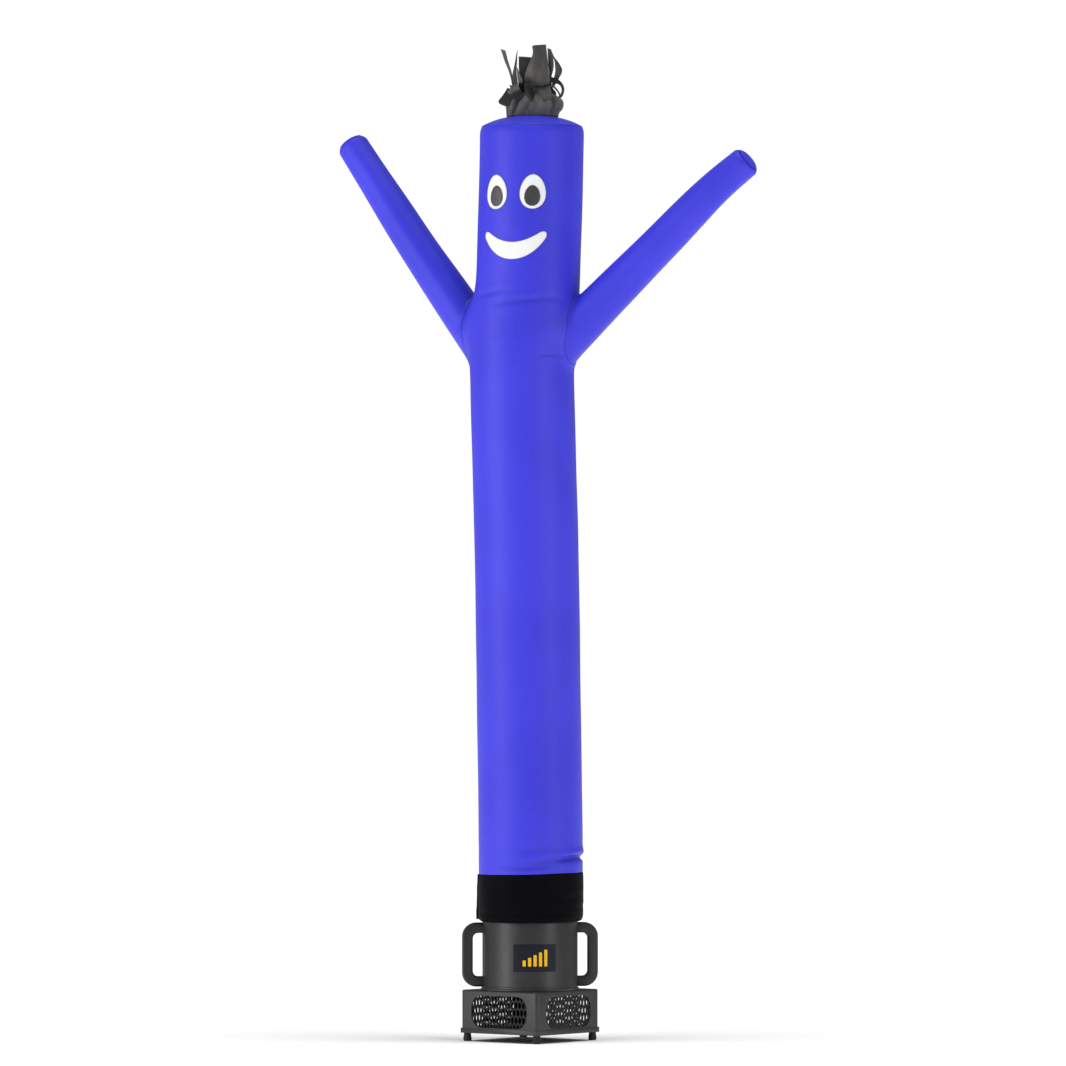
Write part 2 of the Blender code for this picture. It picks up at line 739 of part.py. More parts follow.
def patch_point(across, height, lift):
    """A point over the tube's facets, given as an arc length from the face's middle."""
    azimuth = math.degrees(across / TUBE_RADIUS)
    above = next(z for z in TUBE_LEVELS if z >= height)
    below = max(z for z in TUBE_LEVELS if z < above)
    share = (height - below) / (above - below)
    return tube_point(azimuth, below, lift).lerp(tube_point(azimuth, above, lift), share)


def egg_mesh(name, azimuth, height, width, tall, lift):
    """An egg-shaped patch that follows the tube."""
    middle = math.radians(azimuth) * TUBE_RADIUS
    form = bmesh.new()
    rows = []
    for scale in (1.0, 0.5):
        row = []
        for j in range(EGG_SIDES):
            angle = 2 * math.pi * j / EGG_SIDES
            upward = math.sin(angle)
            across = math.cos(angle) * (1 - EGG * upward) * width / 2
            place = patch_point(middle + across * scale, height + upward * scale * tall / 2, lift)
            row.append(form.verts.new(place))
        rows.append(row)
    centre = form.verts.new(patch_point(middle, height, lift))
    for j in range(EGG_SIDES):
        k = (j + 1) % EGG_SIDES
        form.faces.new((rows[0][j], rows[0][k], rows[1][k], rows[1][j]))
        form.faces.new((rows[1][j], rows[1][k], centre))
    return finish_mesh(name, form)


def smile_mesh(name, lift):
    """A crescent with rounded tips that follows the tube."""
    middle = math.radians(SMILE_AZIMUTH) * TUBE_RADIUS
    rows = [[], [], []]
    for i in range(SMILE_STEPS + 1):
        t = -math.cos(math.pi * i / SMILE_STEPS)
        level = SMILE_TIP_HEIGHT - SMILE_DROP * (1 - t * t)
        plump = SMILE_TIP + (SMILE_MIDDLE - SMILE_TIP) * (1 - t * t)
        short = 1 - min(SMILE_HALF_WIDTH * (1 - abs(t)) / (SMILE_TIP / 2), 1.0)
        half = plump / 2 * max(1 - short * short, SMILE_BLUNTNESS) ** 0.5
        lean = SMILE_LEAN * half * t
        for row, side in zip(rows, (-1, 0, 1)):
            across = SMILE_HALF_WIDTH * t - side * lean
            row.append(patch_point(middle + across, level + side * half, lift))
    return ring_mesh(name, rows, closed_round=False)


def build_face(dancer):
    white = new_material("patch_white", WHITE, 0.60)
    grey = new_material("patch_grey", PUPIL_GREY, 0.60)
    on_eye = PATCH_LIFT * 2 + PATCH
    for side, azimuth in (("left", -EYE_AZIMUTH), ("right", EYE_AZIMUTH)):
        name = f"eye_white_{side}"
        mesh = egg_mesh(name, azimuth, EYE_HEIGHT, EYE_WIDTH, EYE_TALL, PATCH_LIFT)
        solidify(add_piece(name, mesh, dancer, white), PATCH, outwards=True)
        name = f"pupil_{side}"
        mesh = egg_mesh(name, azimuth, PUPIL_HEIGHT, PUPIL_WIDTH, PUPIL_TALL, on_eye)
        solidify(add_piece(name, mesh, dancer, grey), PATCH, outwards=True)
    smile = add_piece("smile", smile_mesh("smile", PATCH_LIFT), dancer, white)
    solidify(smile, PATCH, outwards=True)


def skirt_radius(height):
    """The skirt's radius at a height, on the straight lines between its sections."""
    for (upper, wide), (lower, narrow) in zip(SKIRT_SECTIONS, SKIRT_SECTIONS[1:]):
        if height >= lower:
            return narrow + (wide - narrow) * (height - lower) / (upper - lower)
    return narrow


def flap_point(azimuth, height, lift):
    """A point over the skirt; below the skirt's shoulder the flap hangs straight down."""
    radius = skirt_radius(max(height, FLAP_SHOULDER))
    return tube_axis(height) + direction(azimuth) * (radius + lift) + Vector((0, 0, height))


def build_skirt(dancer):
    nylon = new_material("skirt_nylon", BLACK_NYLON, 0.70)
    azimuths = [360 * j / TUBE_SIDES for j in range(TUBE_SIDES)]
    rings = []
    for height, radius in reversed(SKIRT_SECTIONS):
        middle = tube_axis(height) + Vector((0, 0, height))
        rings.append([middle + direction(a) * radius for a in azimuths])
    skirt = add_piece("skirt", ring_mesh("skirt", rings), dancer, nylon, 60)
    solidify(skirt, CLOTH)
    build_flap(dancer, nylon)


def build_flap(dancer, nylon):
    """The end of the skirt's cloth, lapped over its start, with a wavy free edge."""
    rows = []
    for i in range(FLAP_RISE_STEPS + 1):
        up = i / FLAP_RISE_STEPS
        height = FLAP_BOTTOM + (FLAP_TOP - FLAP_BOTTOM) * up
        row = []
        for j in range(FLAP_ROUND_STEPS + 1):
            across = j / FLAP_ROUND_STEPS
            free = 1 - abs(2 * across - 1)
            wave = FLAP_WAVE * (1 + math.sin(2 * math.pi * FLAP_WAVES * up))
            azimuth = FLAP_FROM + (FLAP_TO - FLAP_FROM) * across
            row.append(flap_point(azimuth, height, FLAP_LIFT + FLAP_CLOTH + wave * free))
        rows.append(row)
    flap = add_piece("skirt_flap", ring_mesh("skirt_flap", rows, closed_round=False), dancer, nylon, 60)
    solidify(flap, FLAP_CLOTH)


# ---- Tuft of ribbons on the head ----


def head_height(reach):
    """Height of the head's upper side at a distance from its middle."""
    rim = TUBE_RADIUS - SHOULDER
    return HEAD_HEIGHT + GAP + CLOTH + HEAD_RISE * (1 - min(reach / rim, 1.0) ** HEAD_CURVE)


def collar_point(step, row):
    lift, sideways, half_width, half_depth, wave = COLLAR[row]
    azimuth = math.radians(360 * step / TUFT_STEPS)
    ripple = wave * math.sin(COLLAR_WAVES * azimuth + COLLAR_START + COLLAR_TWIST * row)
    across = sideways + math.sin(azimuth) * (half_width + ripple)
    depth = -math.cos(azimuth) * (half_depth + ripple)
    base = head_height(math.hypot(across, depth)) if row == 0 else HEAD_HEIGHT + HEAD_RISE
    return Vector((across, depth, base + lift))


def ribbon_rows(first, width, taper, shape):
    """Rows of points of a ribbon, from the collar's upper edge to its end."""
    top = len(COLLAR) - 1
    edge = [collar_point(first + j, top) for j in range(width + 1)]
    middle = sum(edge, Vector()) / len(edge)
    outward = direction(360 * (first + width / 2) / TUFT_STEPS)
    sideways = direction(360 * (first + width / 2) / TUFT_STEPS + 90)
    rows = []
    for i, (out, side, up) in enumerate(shape):
        narrow = 1 + (taper - 1) * (i + 1) / len(shape)
        shift = outward * out + sideways * side + Vector((0, 0, up))
        rows.append([middle + (point - middle) * narrow + shift for point in edge])
    return rows


def build_tuft(dancer):
    nylon = new_material("ribbon_nylon", RIBBON_GREY, 0.50)
    form = bmesh.new()
    collar = []
    for row in range(len(COLLAR)):
        collar.append([form.verts.new(collar_point(step, row)) for step in range(TUFT_STEPS)])
    for low, high in zip(collar, collar[1:]):
        for j in range(TUFT_STEPS):
            k = (j + 1) % TUFT_STEPS
            form.faces.new((low[j], low[k], high[k], high[j]))
    for first, width, taper, shape in RIBBONS:
        low = [collar[-1][(first + j) % TUFT_STEPS] for j in range(width + 1)]
        for points in ribbon_rows(first, width, taper, shape):
            high = [form.verts.new(point) for point in points]
            for j in range(width):
                form.faces.new((low[j], low[j + 1], high[j + 1], high[j]))
            low = high
    tuft = add_piece("hair", finish_mesh("hair", form), dancer, nylon, 60)
    tuft.location = tube_axis(HEAD_HEIGHT)
    tuft.rotation_euler.z = math.radians(SWAY_TURN)
    solidify(tuft, RIBBON_CLOTH)


def build_dancer(root):
    dancer = new_empty("dancer", MODEL, root, turn=DANCER_TURN)
    nylon = new_material("blue_nylon", BLUE, 0.45)
    build_tube(dancer, nylon)
    build_head(dancer, nylon)
    build_arms(dancer, nylon)
    build_face(dancer)
    build_skirt(dancer)
    build_tuft(dancer)


clear_scene()
MODEL = new_collection("air_dancer")
CUTTERS = new_collection("cutters")
ROOT = new_empty("air_dancer", MODEL, location=(*BLOWER_AXIS, 0.0))
build_blower(ROOT)
build_dancer(ROOT)
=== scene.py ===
import math

import bmesh
import bpy
import numpy as np
from mathutils import Matrix, Vector


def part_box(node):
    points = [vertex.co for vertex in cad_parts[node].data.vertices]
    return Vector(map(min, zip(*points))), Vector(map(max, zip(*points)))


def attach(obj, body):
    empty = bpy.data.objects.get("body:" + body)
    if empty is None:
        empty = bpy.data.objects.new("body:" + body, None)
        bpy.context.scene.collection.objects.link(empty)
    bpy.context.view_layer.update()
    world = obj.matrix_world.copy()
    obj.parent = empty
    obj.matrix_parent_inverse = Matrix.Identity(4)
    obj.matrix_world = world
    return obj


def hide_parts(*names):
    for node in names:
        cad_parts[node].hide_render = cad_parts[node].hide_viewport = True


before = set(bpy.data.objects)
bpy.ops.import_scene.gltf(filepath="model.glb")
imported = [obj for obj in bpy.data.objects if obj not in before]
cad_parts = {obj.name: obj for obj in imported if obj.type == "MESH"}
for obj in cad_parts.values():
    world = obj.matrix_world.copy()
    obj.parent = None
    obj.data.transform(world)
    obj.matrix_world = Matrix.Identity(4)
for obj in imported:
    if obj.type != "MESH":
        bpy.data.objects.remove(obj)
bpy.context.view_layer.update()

# Lengths are in metres. An azimuth is in degrees about +Z, from -Y towards +X.
# The dancer's own frame is the row frame, moved to the blower's axis and turned to face -Y.
NECK_BOX = [Vector(corner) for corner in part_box("blower_neck")]
AXIS = ((NECK_BOX[0] + NECK_BOX[1]) / 2).xy.to_3d()
DANCER_TURN = -24.5
UP = np.array([0, 0, 1])

# ---- The dancer's sizes ----

TUBE_RADIUS = 0.1665
TUBE_BOTTOM = 0.5356
SEAM_TILT = 0.004  # how far the seam between tube and skirt rises towards azimuth 90
TILT_REACH = 0.12  # this far above the seam the tilt is gone
HEAD_HEIGHT = 2.924  # the seam round the head
HEAD_RISE = 0.034
CAP_LIFT = 0.0006
HEAD_CURVE = 2.8
SHOULDER = 0.0065
SHOULDER_HEIGHT = 0.026
CLOTH = 0.0014
SWAY_TURN = 18.4  # from the face to the plane square to the view, in which the tube sways
SWAY = (
    # height, sideways
    (0.380, 0.000), (0.536, 0.003), (0.830, 0.000), (1.220, -0.006),
    (1.600, -0.011), (1.860, -0.019), (2.110, -0.025), (2.210, -0.024),
    (2.300, -0.017), (2.400, -0.008), (2.530, -0.003), (2.720, 0.003),
    (2.924, 0.006),
)

# Creases: a valley with a roll of cloth above it, from one azimuth to another.
CREASES = (
    # from, to, height at its start, middle and end, depth, half width of the valley
    (50, 150, 0.583, 0.588, 0.572, 0.0100, 0.0080),
    (0, 112, 0.564, 0.582, 0.590, 0.0055, 0.0095),
    (-22, 55, 0.548, 0.558, 0.562, 0.0038, 0.0075),
    (-12, 62, 0.604, 0.616, 0.618, 0.0018, 0.0140),
    (33, 74, 2.190, 2.192, 2.187, 0.0025, 0.0062),
    (84, 132, 2.177, 2.174, 2.179, 0.0050, 0.0055),
    (-22, 36, 2.350, 2.361, 2.368, 0.0036, 0.0098),
    (-56, 0, 2.376, 2.388, 2.404, 0.0030, 0.0095),
    (20, 66, 2.368, 2.372, 2.366, 0.0022, 0.0110),
    (186, 236, 2.340, 2.352, 2.338, 0.0050, 0.0080),
    (182, 248, 0.566, 0.580, 0.570, 0.0060, 0.0090),
)
CREASE_BLUNTNESS = 0.6
ROLL_SHARE = 0.30  # height of the roll above a crease, as a share of the crease's depth
ROLL_AWAY = 2.1  # and how far above it lies, in half widths
ROLL_WIDTH = 1.4
# Painted shade in the creases' valleys and on the tube just above the arms:
DARK_DEPTH = 0.007  # a crease this deep, or deeper, gets the darkest painted shade
CREASE_SHADE = 0.6
ARM_SHADE = 0.4  # how much darker the painted shade makes the tube just above an arm
ARM_SHADE_REACH = 0.030
SWELLS = (
    # azimuth, height, rise, half width in degrees, half height
    (-101.6, 2.285, 0.040, 45, 0.080),
    (90.0, 2.275, 0.020, 35, 0.070),
)
# Long shallow waves of the blown-up cloth.
WAVES = (
    # rise, turns round the tube, metres from wave to wave, where it starts
    (0.00035, 3, 0.90, 0.4),
    (0.00030, 5, 0.55, 2.1),
    (0.00025, 2, 0.33, 4.0),
)
PUCKERS = 62  # round a seam
PUCKER_RISE = 0.0004
PUCKER_REACH = 0.012
FINE_LEVELS = [(0.536, 0.625), (2.13, 2.21), (2.325, 2.42), (2.912, 2.924)]  # where creases and seams are
TUBE_STEPS = (0.016, 0.0032)  # from row to row of the mesh, and where it is fine
TUBE_COLUMNS = 144

ARM_LEVEL = 2.285
ARM_ROOTS = (1.95, 2.60)  # the heights between which the arms reach the tube
ARM_FILLET = 0.026
EASING_STEPS = 8
ARM_COLUMNS = 64
ARM_STEPS = (0.0105, 0.0020)  # shares of the arm's length
FINE_ARM = [(0.0, 0.03), (0.975, 1.0)]
ARM_PUCKERS = 26
RIDGE = 0.0016  # how far an arm's soft ridge stands proud
RIDGE_WIDTH = 24.0
RIDGE_FADE = 0.10
ROOT_SHADE = 0.10  # how dark the painted shade round an arm's root is
ROOT_SHADE_REACH = 0.075
SEAM_LAP = 0.003  # how far tube and arm reach past their seam, into each other
SEAM_WIDTH = 0.010
HEAD_CORD = 0.0011  # the radii of the seams' ridges
ARM_CORD = 0.0007
TIP_CORD = 0.0006
SKIRT_CORD = 0.0009
CORD_SIDES = 8
ARM_TIP_RISE = 0.010
ARM_TIP_CURVE = 2.4
ARM_SHOULDER = 0.016  # how deep the rounding in to the arm's tip is
ARM_SHOULDER_SHARE = 0.020  # over how much of the arm's length it goes
ARM_SHOULDER_END = 0.92  # how far round it comes before the cap takes over
ARMS = {
    "left": {
        "azimuth": -101.6,
        "length": 0.60,  # about, from the tube's middle line
        "shade": 1.05,  # how much darker painted shade makes the upper side of its root
        "ridge": 20.0,  # where round the arm its soft ridge runs
        "sections": (
            # outwards, height, radius
            (0.040, 2.093, 0.0740),
            (0.175, 2.262, 0.0715),
            (0.267, 2.378, 0.0670),
            (0.391, 2.537, 0.0620),
            (0.533, 2.729, 0.0557),
            (0.647, 2.885, 0.0500),
        ),
    },
    "right": {
        "azimuth": 90.0,
        "length": 0.60,
        "shade": 0.25,
        "ridge": 138.0,
        "sections": (
            (0.040, 2.148, 0.0740),
            (0.177, 2.278, 0.0710),
            (0.289, 2.385, 0.0656),
            (0.457, 2.545, 0.0608),
            (0.625, 2.707, 0.0545),
            (0.748, 2.807, 0.0496),
        ),
    },
}


# ---- Places ----


def direction(azimuth):
    angle = np.radians(azimuth)
    return np.stack([np.sin(angle), -np.cos(angle), np.zeros_like(angle)], axis=-1)


def turned(points, degrees):
    """Points turned about +Z."""
    cos, sin = math.cos(math.radians(degrees)), math.sin(math.radians(degrees))
    return points @ np.array([[cos, sin, 0], [-sin, cos, 0], [0, 0, 1]])


def from_dancer(points):
    """Points of the dancer's own frame, in the row frame."""
    return turned(points, DANCER_TURN) + np.array(AXIS)


def from_blower(points):
    return points + np.array(AXIS)


def apart(azimuth, other):
    return (azimuth - other + 180) % 360 - 180


def circle(count, whole=2 * math.pi):
    """Evenly spaced angles, once round."""
    return whole * np.arange(count) / count


def unit(vectors):
    return vectors / np.linalg.norm(vectors, axis=-1, keepdims=True)


def grid(rows, columns):
    return np.meshgrid(rows, columns, indexing="ij")


def read_table(rows, at):
    """Smooth curves through the rows, read at places along the first column, one for each other."""
    x, *columns = np.array(rows, dtype=float).T
    at = np.clip(at, x[0], x[-1])
    i = np.clip(np.searchsorted(x, at) - 1, 0, len(x) - 2)
    span = x[i + 1] - x[i]
    t = (at - x[i]) / span
    found = []
    for y in columns:
        steps = np.diff(y) / np.diff(x)
        slopes = np.concatenate([steps[:1], (y[2:] - y[:-2]) / (x[2:] - x[:-2]), steps[-1:]])
        found.append(
            y[i] * (1 + 2 * t) * (1 - t) ** 2
            + y[i + 1] * t * t * (3 - 2 * t)
            + span * t * (1 - t) * (slopes[i] * (1 - t) - slopes[i + 1] * t)
        )
    return found


# ---- Meshes ----


def layout(across, along):
    """Places on the uncut cloth, for grid_mesh."""
    return np.stack(np.meshgrid(across, along), axis=-1)


def lengths_along(points):
    """How far each point is from its column's first one, along the column."""
    steps = np.linalg.norm(np.diff(points, axis=0), axis=-1)
    return np.concatenate([np.zeros_like(steps[:1]), np.cumsum(steps, axis=0)])


def grid_mesh(name, points, flat, closed=True, **marks):
    """A mesh over rows of points, each row a ring where closed. flat gives each place on the
    uncut cloth, and marks are named numbers, one for each point."""
    rows, cols = points.shape[:2]
    if closed and flat.shape[1] == cols:
        flat = np.concatenate([flat, flat[:, :1]], axis=1)
    i, j = grid(np.arange(rows - 1), np.arange(cols if closed else cols - 1))
    here, ahead = i * cols + j, i * cols + (j + 1) % cols
    faces = np.stack([here, ahead, ahead + cols, here + cols], axis=-1).reshape(-1, 4)
    mesh = bpy.data.meshes.new(name)
    mesh.from_pydata(points.reshape(-1, 3).tolist(), [], faces.tolist())
    uv = np.stack([flat[i, j], flat[i, j + 1], flat[i + 1, j + 1], flat[i + 1, j]], axis=-2)
    mesh.uv_layers.new(name="cloth").data.foreach_set("uv", uv.reshape(-1).astype(np.float32))
    for mark, values in marks.items():
        layer = mesh.attributes.new(mark, "FLOAT", "POINT")
        layer.data.foreach_set("value", values.reshape(-1).astype(np.float32))
    mesh.shade_smooth()
    return mesh


def new_object(data):
    piece = bpy.data.objects.new(data.name, data)
    bpy.context.scene.collection.objects.link(piece)
    return piece


def dress(piece, finish, *nodes):
    """The piece wears the finish, rides on the object and stands for those solids."""
    material, slot = finish
    piece.data.materials.append(material)
    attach(piece, "root")
    if nodes:
        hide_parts(*nodes)
    return piece


def having(thing, **settings):
    for key, value in settings.items():
        setattr(thing, key, value)
    return thing


def modified(piece, kind, **settings):
    having(piece.modifiers.new(kind.title(), kind), **settings)
    return piece


def solidify(piece, thickness, offset=-1.0):
    return modified(piece, "SOLIDIFY", thickness=thickness, offset=offset, use_even_offset=True)


def bevel(piece, width, segments, angle):
    limit = {"limit_method": "ANGLE", "angle_limit": math.radians(angle)}
    return modified(piece, "BEVEL", width=width, segments=segments, harden_normals=True, **limit)


def smooth_below(piece, angle):
    piece.data.shade_smooth()
    piece.data.set_sharp_from_angle(angle=math.radians(angle))
    return piece


def applied(piece):
    """The piece with its modifiers turned into its mesh."""
    seen = piece.evaluated_get(bpy.context.evaluated_depsgraph_get())
    mesh = bpy.data.meshes.new_from_object(seen)
    mesh.name = piece.name
    piece.modifiers.clear()
    piece.data = mesh
    return piece


def written(form, mesh):
    form.to_mesh(mesh)
    form.free()
    return mesh


def welded(mesh, distance=0.00002):
    form = bmesh.new()
    form.from_mesh(mesh)
    bmesh.ops.remove_doubles(form, verts=form.verts, dist=distance)
    bmesh.ops.recalc_face_normals(form, faces=form.faces)
    return written(form, mesh)


def clipped(mesh, mark):
    """Cuts a mesh along the line where its mark is nought and keeps the side above."""
    form = bmesh.new()
    form.from_mesh(mesh)
    layer = form.verts.layers.float[mark]
    for edge in [e for e in form.edges if (e.verts[0][layer] > 0) != (e.verts[1][layer] > 0)]:
        first, second = edge.verts
        share = first[layer] / (first[layer] - second[layer])
        split = bmesh.utils.edge_split(edge, first, min(max(share, 0.02), 0.98))[1]
        split[layer] = 0.0
        split.tag = True
    for face in list(form.faces):
        new = [v for v in face.verts if v.tag]
        if len(new) == 2:
            bmesh.utils.face_split(face, *new)
    outside = [f for f in form.faces if min(v[layer] for v in f.verts) < 0]
    bmesh.ops.delete(form, geom=outside, context="FACES")
    loose = [v for v in form.verts if not v.link_faces]
    bmesh.ops.delete(form, geom=loose, context="VERTS")
    return written(form, mesh)


def tube_path(points, radius, closed, sides, flatten, outward):
    """Rows of rings along a path, for grid_mesh; flatten squashes them along outward."""
    ahead, behind = np.roll(points, -1, axis=0), np.roll(points, 1, axis=0)
    if not closed:
        ahead[-1], behind[0] = points[-1], points[0]
    along = unit(ahead - behind)
    side = unit(np.cross(along, outward))
    up = np.cross(side, along)
    angle = circle(sides)[:, None]
    rings = points[:, None] + side[:, None] * (np.cos(angle) * radius)
    rings += up[:, None] * (np.sin(angle) * radius * flatten)
    return np.concatenate([rings, rings[:1]]) if closed else rings


def cloth(mesh, finish, *nodes, thickness=CLOTH, offset=-1.0):
    return dress(solidify(new_object(mesh), thickness, offset), finish, *nodes)


def build_cord(name, points, radius, finish, flatten=0.7, outward=UP):
    """A seam's narrow ridge of folded cloth, as a closed ring."""
    rings = tube_path(points, radius, True, CORD_SIDES, flatten, outward)
    girth = np.arange(CORD_SIDES + 1) * 2 * math.pi * radius / CORD_SIDES
    flat = layout(girth, lengths_along(rings[:, 0]))
    dress(new_object(welded(grid_mesh(name, rings, flat))), finish)


# ---- Materials ----

THREAD = 0.0016
RIPSTOP = 0.0062


def rgb(*values):
    return (*values, 1.0)


class Nodes:
    """A node tree, with a short way to add and join nodes."""

    def __init__(self, owner, slot=None):
        owner.use_nodes = True
        self.owner = owner
        self.slot = slot
        self.tree = owner.node_tree
        self.tree.nodes.clear()

    def add(self, kind, inputs=None, **settings):
        node = having(self.tree.nodes.new(kind), **settings)
        for key, value in (inputs or {}).items():
            if isinstance(value, bpy.types.NodeSocket):
                self.tree.links.new(value, node.inputs[key])
            else:
                node.inputs[key].default_value = value
        return node

    def math(self, operation, *values, clamp=False):
        inputs = dict(enumerate(values))
        return self.add("ShaderNodeMath", inputs, operation=operation, use_clamp=clamp).outputs[0]

    def scaled(self, value, factor, clamp=False):
        return self.math("MULTIPLY", value, factor, clamp=clamp)

    def mix(self, factor, first, second):
        inputs = {0: factor, 6: first, 7: second}
        return self.add("ShaderNodeMix", inputs, data_type="RGBA").outputs[2]

    def ramp(self, value, low, high):
        """A smooth 0 to 1 as value goes from low to high."""
        inputs = {"Value": value, "From Min": low, "From Max": high}
        return self.add("ShaderNodeMapRange", inputs, interpolation_type="SMOOTHSTEP").outputs[0]

    def noise(self, scale, detail=3.0, roughness=0.5, vector=None, stretch=None):
        if vector is None:
            vector = self.add("ShaderNodeTexCoord").outputs["Object"]
        if stretch:
            inputs = {0: vector, 1: stretch}
            vector = self.add("ShaderNodeVectorMath", inputs, operation="MULTIPLY").outputs[0]
        inputs = {"Vector": vector, "Scale": scale, "Detail": detail, "Roughness": roughness}
        return self.add("ShaderNodeTexNoise", inputs).outputs["Fac"]

    def bump(self, height, distance, strength=1.0, normal=None):
        inputs = {"Height": height, "Distance": distance, "Strength": strength}
        if normal is not None:
            inputs["Normal"] = normal
        return self.add("ShaderNodeBump", inputs).outputs[0]

    def flat(self):
        """The place on the uncut cloth."""
        return self.add("ShaderNodeUVMap", uv_map="cloth").outputs[0]

    def sunk(self, share):
        """The painted shade in folds and round the arms, times a share."""
        mark = self.add("ShaderNodeAttribute", attribute_name="sunk").outputs["Fac"]
        return self.scaled(mark, share, clamp=True)

    def weave(self, thread, ripstop=0.0):
        """Height of a woven cloth over its flat layout, and its ripstop lines, 0 to 1."""
        ways = self.add("ShaderNodeSeparateXYZ", {0: self.flat()}).outputs[:2]
        warp, weft = (self.math("SINE", self.scaled(way, 2 * math.pi / thread)) for way in ways)
        height = self.math("MULTIPLY", warp, weft)
        if not ripstop:
            return height, None
        near = []
        for way in ways:
            across = self.math("ABSOLUTE", self.math("PINGPONG", way, ripstop / 2))
            near.append(self.ramp(across, ripstop * 0.10, 0.0))
        return height, self.math("MAXIMUM", *near)

    def finish(self, **inputs):
        """A finish, which is a material and its slot, from the principled shader's inputs."""
        inputs = {key.replace("_", " "): value for key, value in inputs.items()}
        shader = self.add("ShaderNodeBsdfPrincipled", inputs)
        self.add("ShaderNodeOutputMaterial", {0: shader.outputs[0]})
        return self.owner, self.slot


def new_material(name, slot=None):
    return Nodes(bpy.data.materials.new(name), slot or name)


def nylon_blue():
    nodes = new_material("blue_nylon")
    height, lines = nodes.weave(THREAD, RIPSTOP)
    big = nodes.ramp(nodes.noise(3.2, 2.0), 0.35, 0.65)
    fine = nodes.noise(55.0, 4.0, 0.6)
    base = nodes.mix(big, rgb(0.0435, 0.0415, 0.700), rgb(0.053, 0.049, 0.775))
    base = nodes.mix(nodes.scaled(lines, 0.09), base, rgb(0.035, 0.035, 0.61))
    base = nodes.mix(nodes.scaled(nodes.ramp(fine, 0.3, 0.8), 0.10), base, rgb(0.082, 0.073, 0.86))
    # Painted shade, a deep teal blue, in the creases and round the arms' roots.
    base = nodes.mix(nodes.sunk(0.85), base, rgb(0.012, 0.026, 0.30))
    relief = nodes.math("ADD", nodes.scaled(height, 0.35), nodes.scaled(lines, 0.9))
    ripple = nodes.noise(26.0, 3.0, 0.55, stretch=(1.0, 1.0, 0.45))
    return nodes.finish(
        Base_Color=base,
        Roughness=nodes.math("MULTIPLY_ADD", fine, 0.10, 0.38),
        Normal=nodes.bump(ripple, 0.0016, 0.35, nodes.bump(relief, 0.00022, 0.55)),
        Sheen_Weight=0.015,
        Sheen_Roughness=0.4,
        Sheen_Tint=rgb(0.80, 0.60, 1.0),
        Specular_IOR_Level=0.30,
    )


def nylon_black():
    nodes = new_material("black_nylon")
    height, lines = nodes.weave(THREAD, RIPSTOP)
    light = rgb(0.0052, 0.0052, 0.0068)
    worn = nodes.ramp(nodes.noise(14.0, 4.0, 0.6), 0.45, 0.8)
    colour = nodes.mix(nodes.scaled(worn, 0.6), rgb(0.0020, 0.0020, 0.0030), light)
    relief = nodes.math("ADD", nodes.scaled(height, 0.35), lines)
    return nodes.finish(
        Base_Color=nodes.mix(nodes.scaled(lines, 0.4), colour, light),
        Roughness=0.55,
        Normal=nodes.bump(nodes.noise(34.0), 0.0012, 0.4, nodes.bump(relief, 0.00025, 0.6)),
        Specular_IOR_Level=0.035,
        Sheen_Weight=0.008,
        Sheen_Roughness=0.4,
        Sheen_Tint=rgb(0.7, 0.7, 0.8),
    )


def nylon_ribbon():
    nodes = new_material("ribbon_nylon")
    streak = nodes.noise(45.0, 4.0, 0.6, vector=nodes.flat(), stretch=(1.0, 0.25, 1.0))
    streak = nodes.ramp(streak, 0.3, 0.75)
    colour = nodes.mix(streak, rgb(0.083, 0.079, 0.076), rgb(0.140, 0.132, 0.125))
    threads = nodes.bump(nodes.weave(0.0018)[0], 0.00012, 0.35)
    return nodes.finish(
        # Painted shade darkens the ribbons where they lie deep in the tuft.
        Base_Color=nodes.mix(nodes.sunk(0.96), colour, rgb(0.005, 0.003, 0.003)),
        Roughness=0.48,
        Normal=nodes.bump(nodes.noise(42.0, 3.0, 0.55), 0.0032, 0.55, threads),
        Specular_IOR_Level=0.22,
        Sheen_Weight=0.04,
        Sheen_Roughness=0.35,
        Sheen_Tint=rgb(0.8, 0.8, 0.85),
    )


def thread_rim(slot, base, dark):
    """Close zigzag stitches round a patch."""
    nodes = new_material(f"{slot}_rim", slot)
    across, along = nodes.add("ShaderNodeSeparateXYZ", {0: nodes.flat()}).outputs[:2]
    slanted = nodes.math("ADD", along, nodes.scaled(across, 0.6))
    stitch = nodes.math("SINE", nodes.scaled(slanted, 2 * math.pi / 0.0016))
    stitch = nodes.math("MULTIPLY_ADD", stitch, 0.5, 0.5)
    colour = nodes.mix(stitch, rgb(*dark), rgb(*base))
    normal = nodes.bump(stitch, 0.0005, 0.8)
    return nodes.finish(Base_Color=colour, Roughness=0.55, Normal=normal, Specular_IOR_Level=0.4)


def moulded(name, base, worn, rough):
    """Moulded plastic with a fine grain, faint scuffs and a little dust."""
    nodes = new_material(name)
    grainy = nodes.noise(380.0, 2.0)
    patch = nodes.ramp(nodes.noise(16.0, 5.0, 0.65), 0.48, 0.75)
    scuff = nodes.ramp(nodes.noise(90.0, 2.0, stretch=(1.0, 1.0, 0.12)), 0.62, 0.80)
    colour = rgb(*base)
    for spots, share in ((patch, 0.35), (nodes.ramp(grainy, 0.38, 0.66), 0.45), (scuff, 0.25)):
        colour = nodes.mix(nodes.scaled(spots, share), colour, rgb(*worn))
    roughness = nodes.math("MULTIPLY_ADD", patch, 0.10, rough)
    normal = nodes.bump(nodes.noise(22.0, 2.0), 0.0012, 0.25, nodes.bump(grainy, 0.00035, 0.5))
    return nodes.finish(Base_Color=colour, Roughness=roughness, Normal=normal)


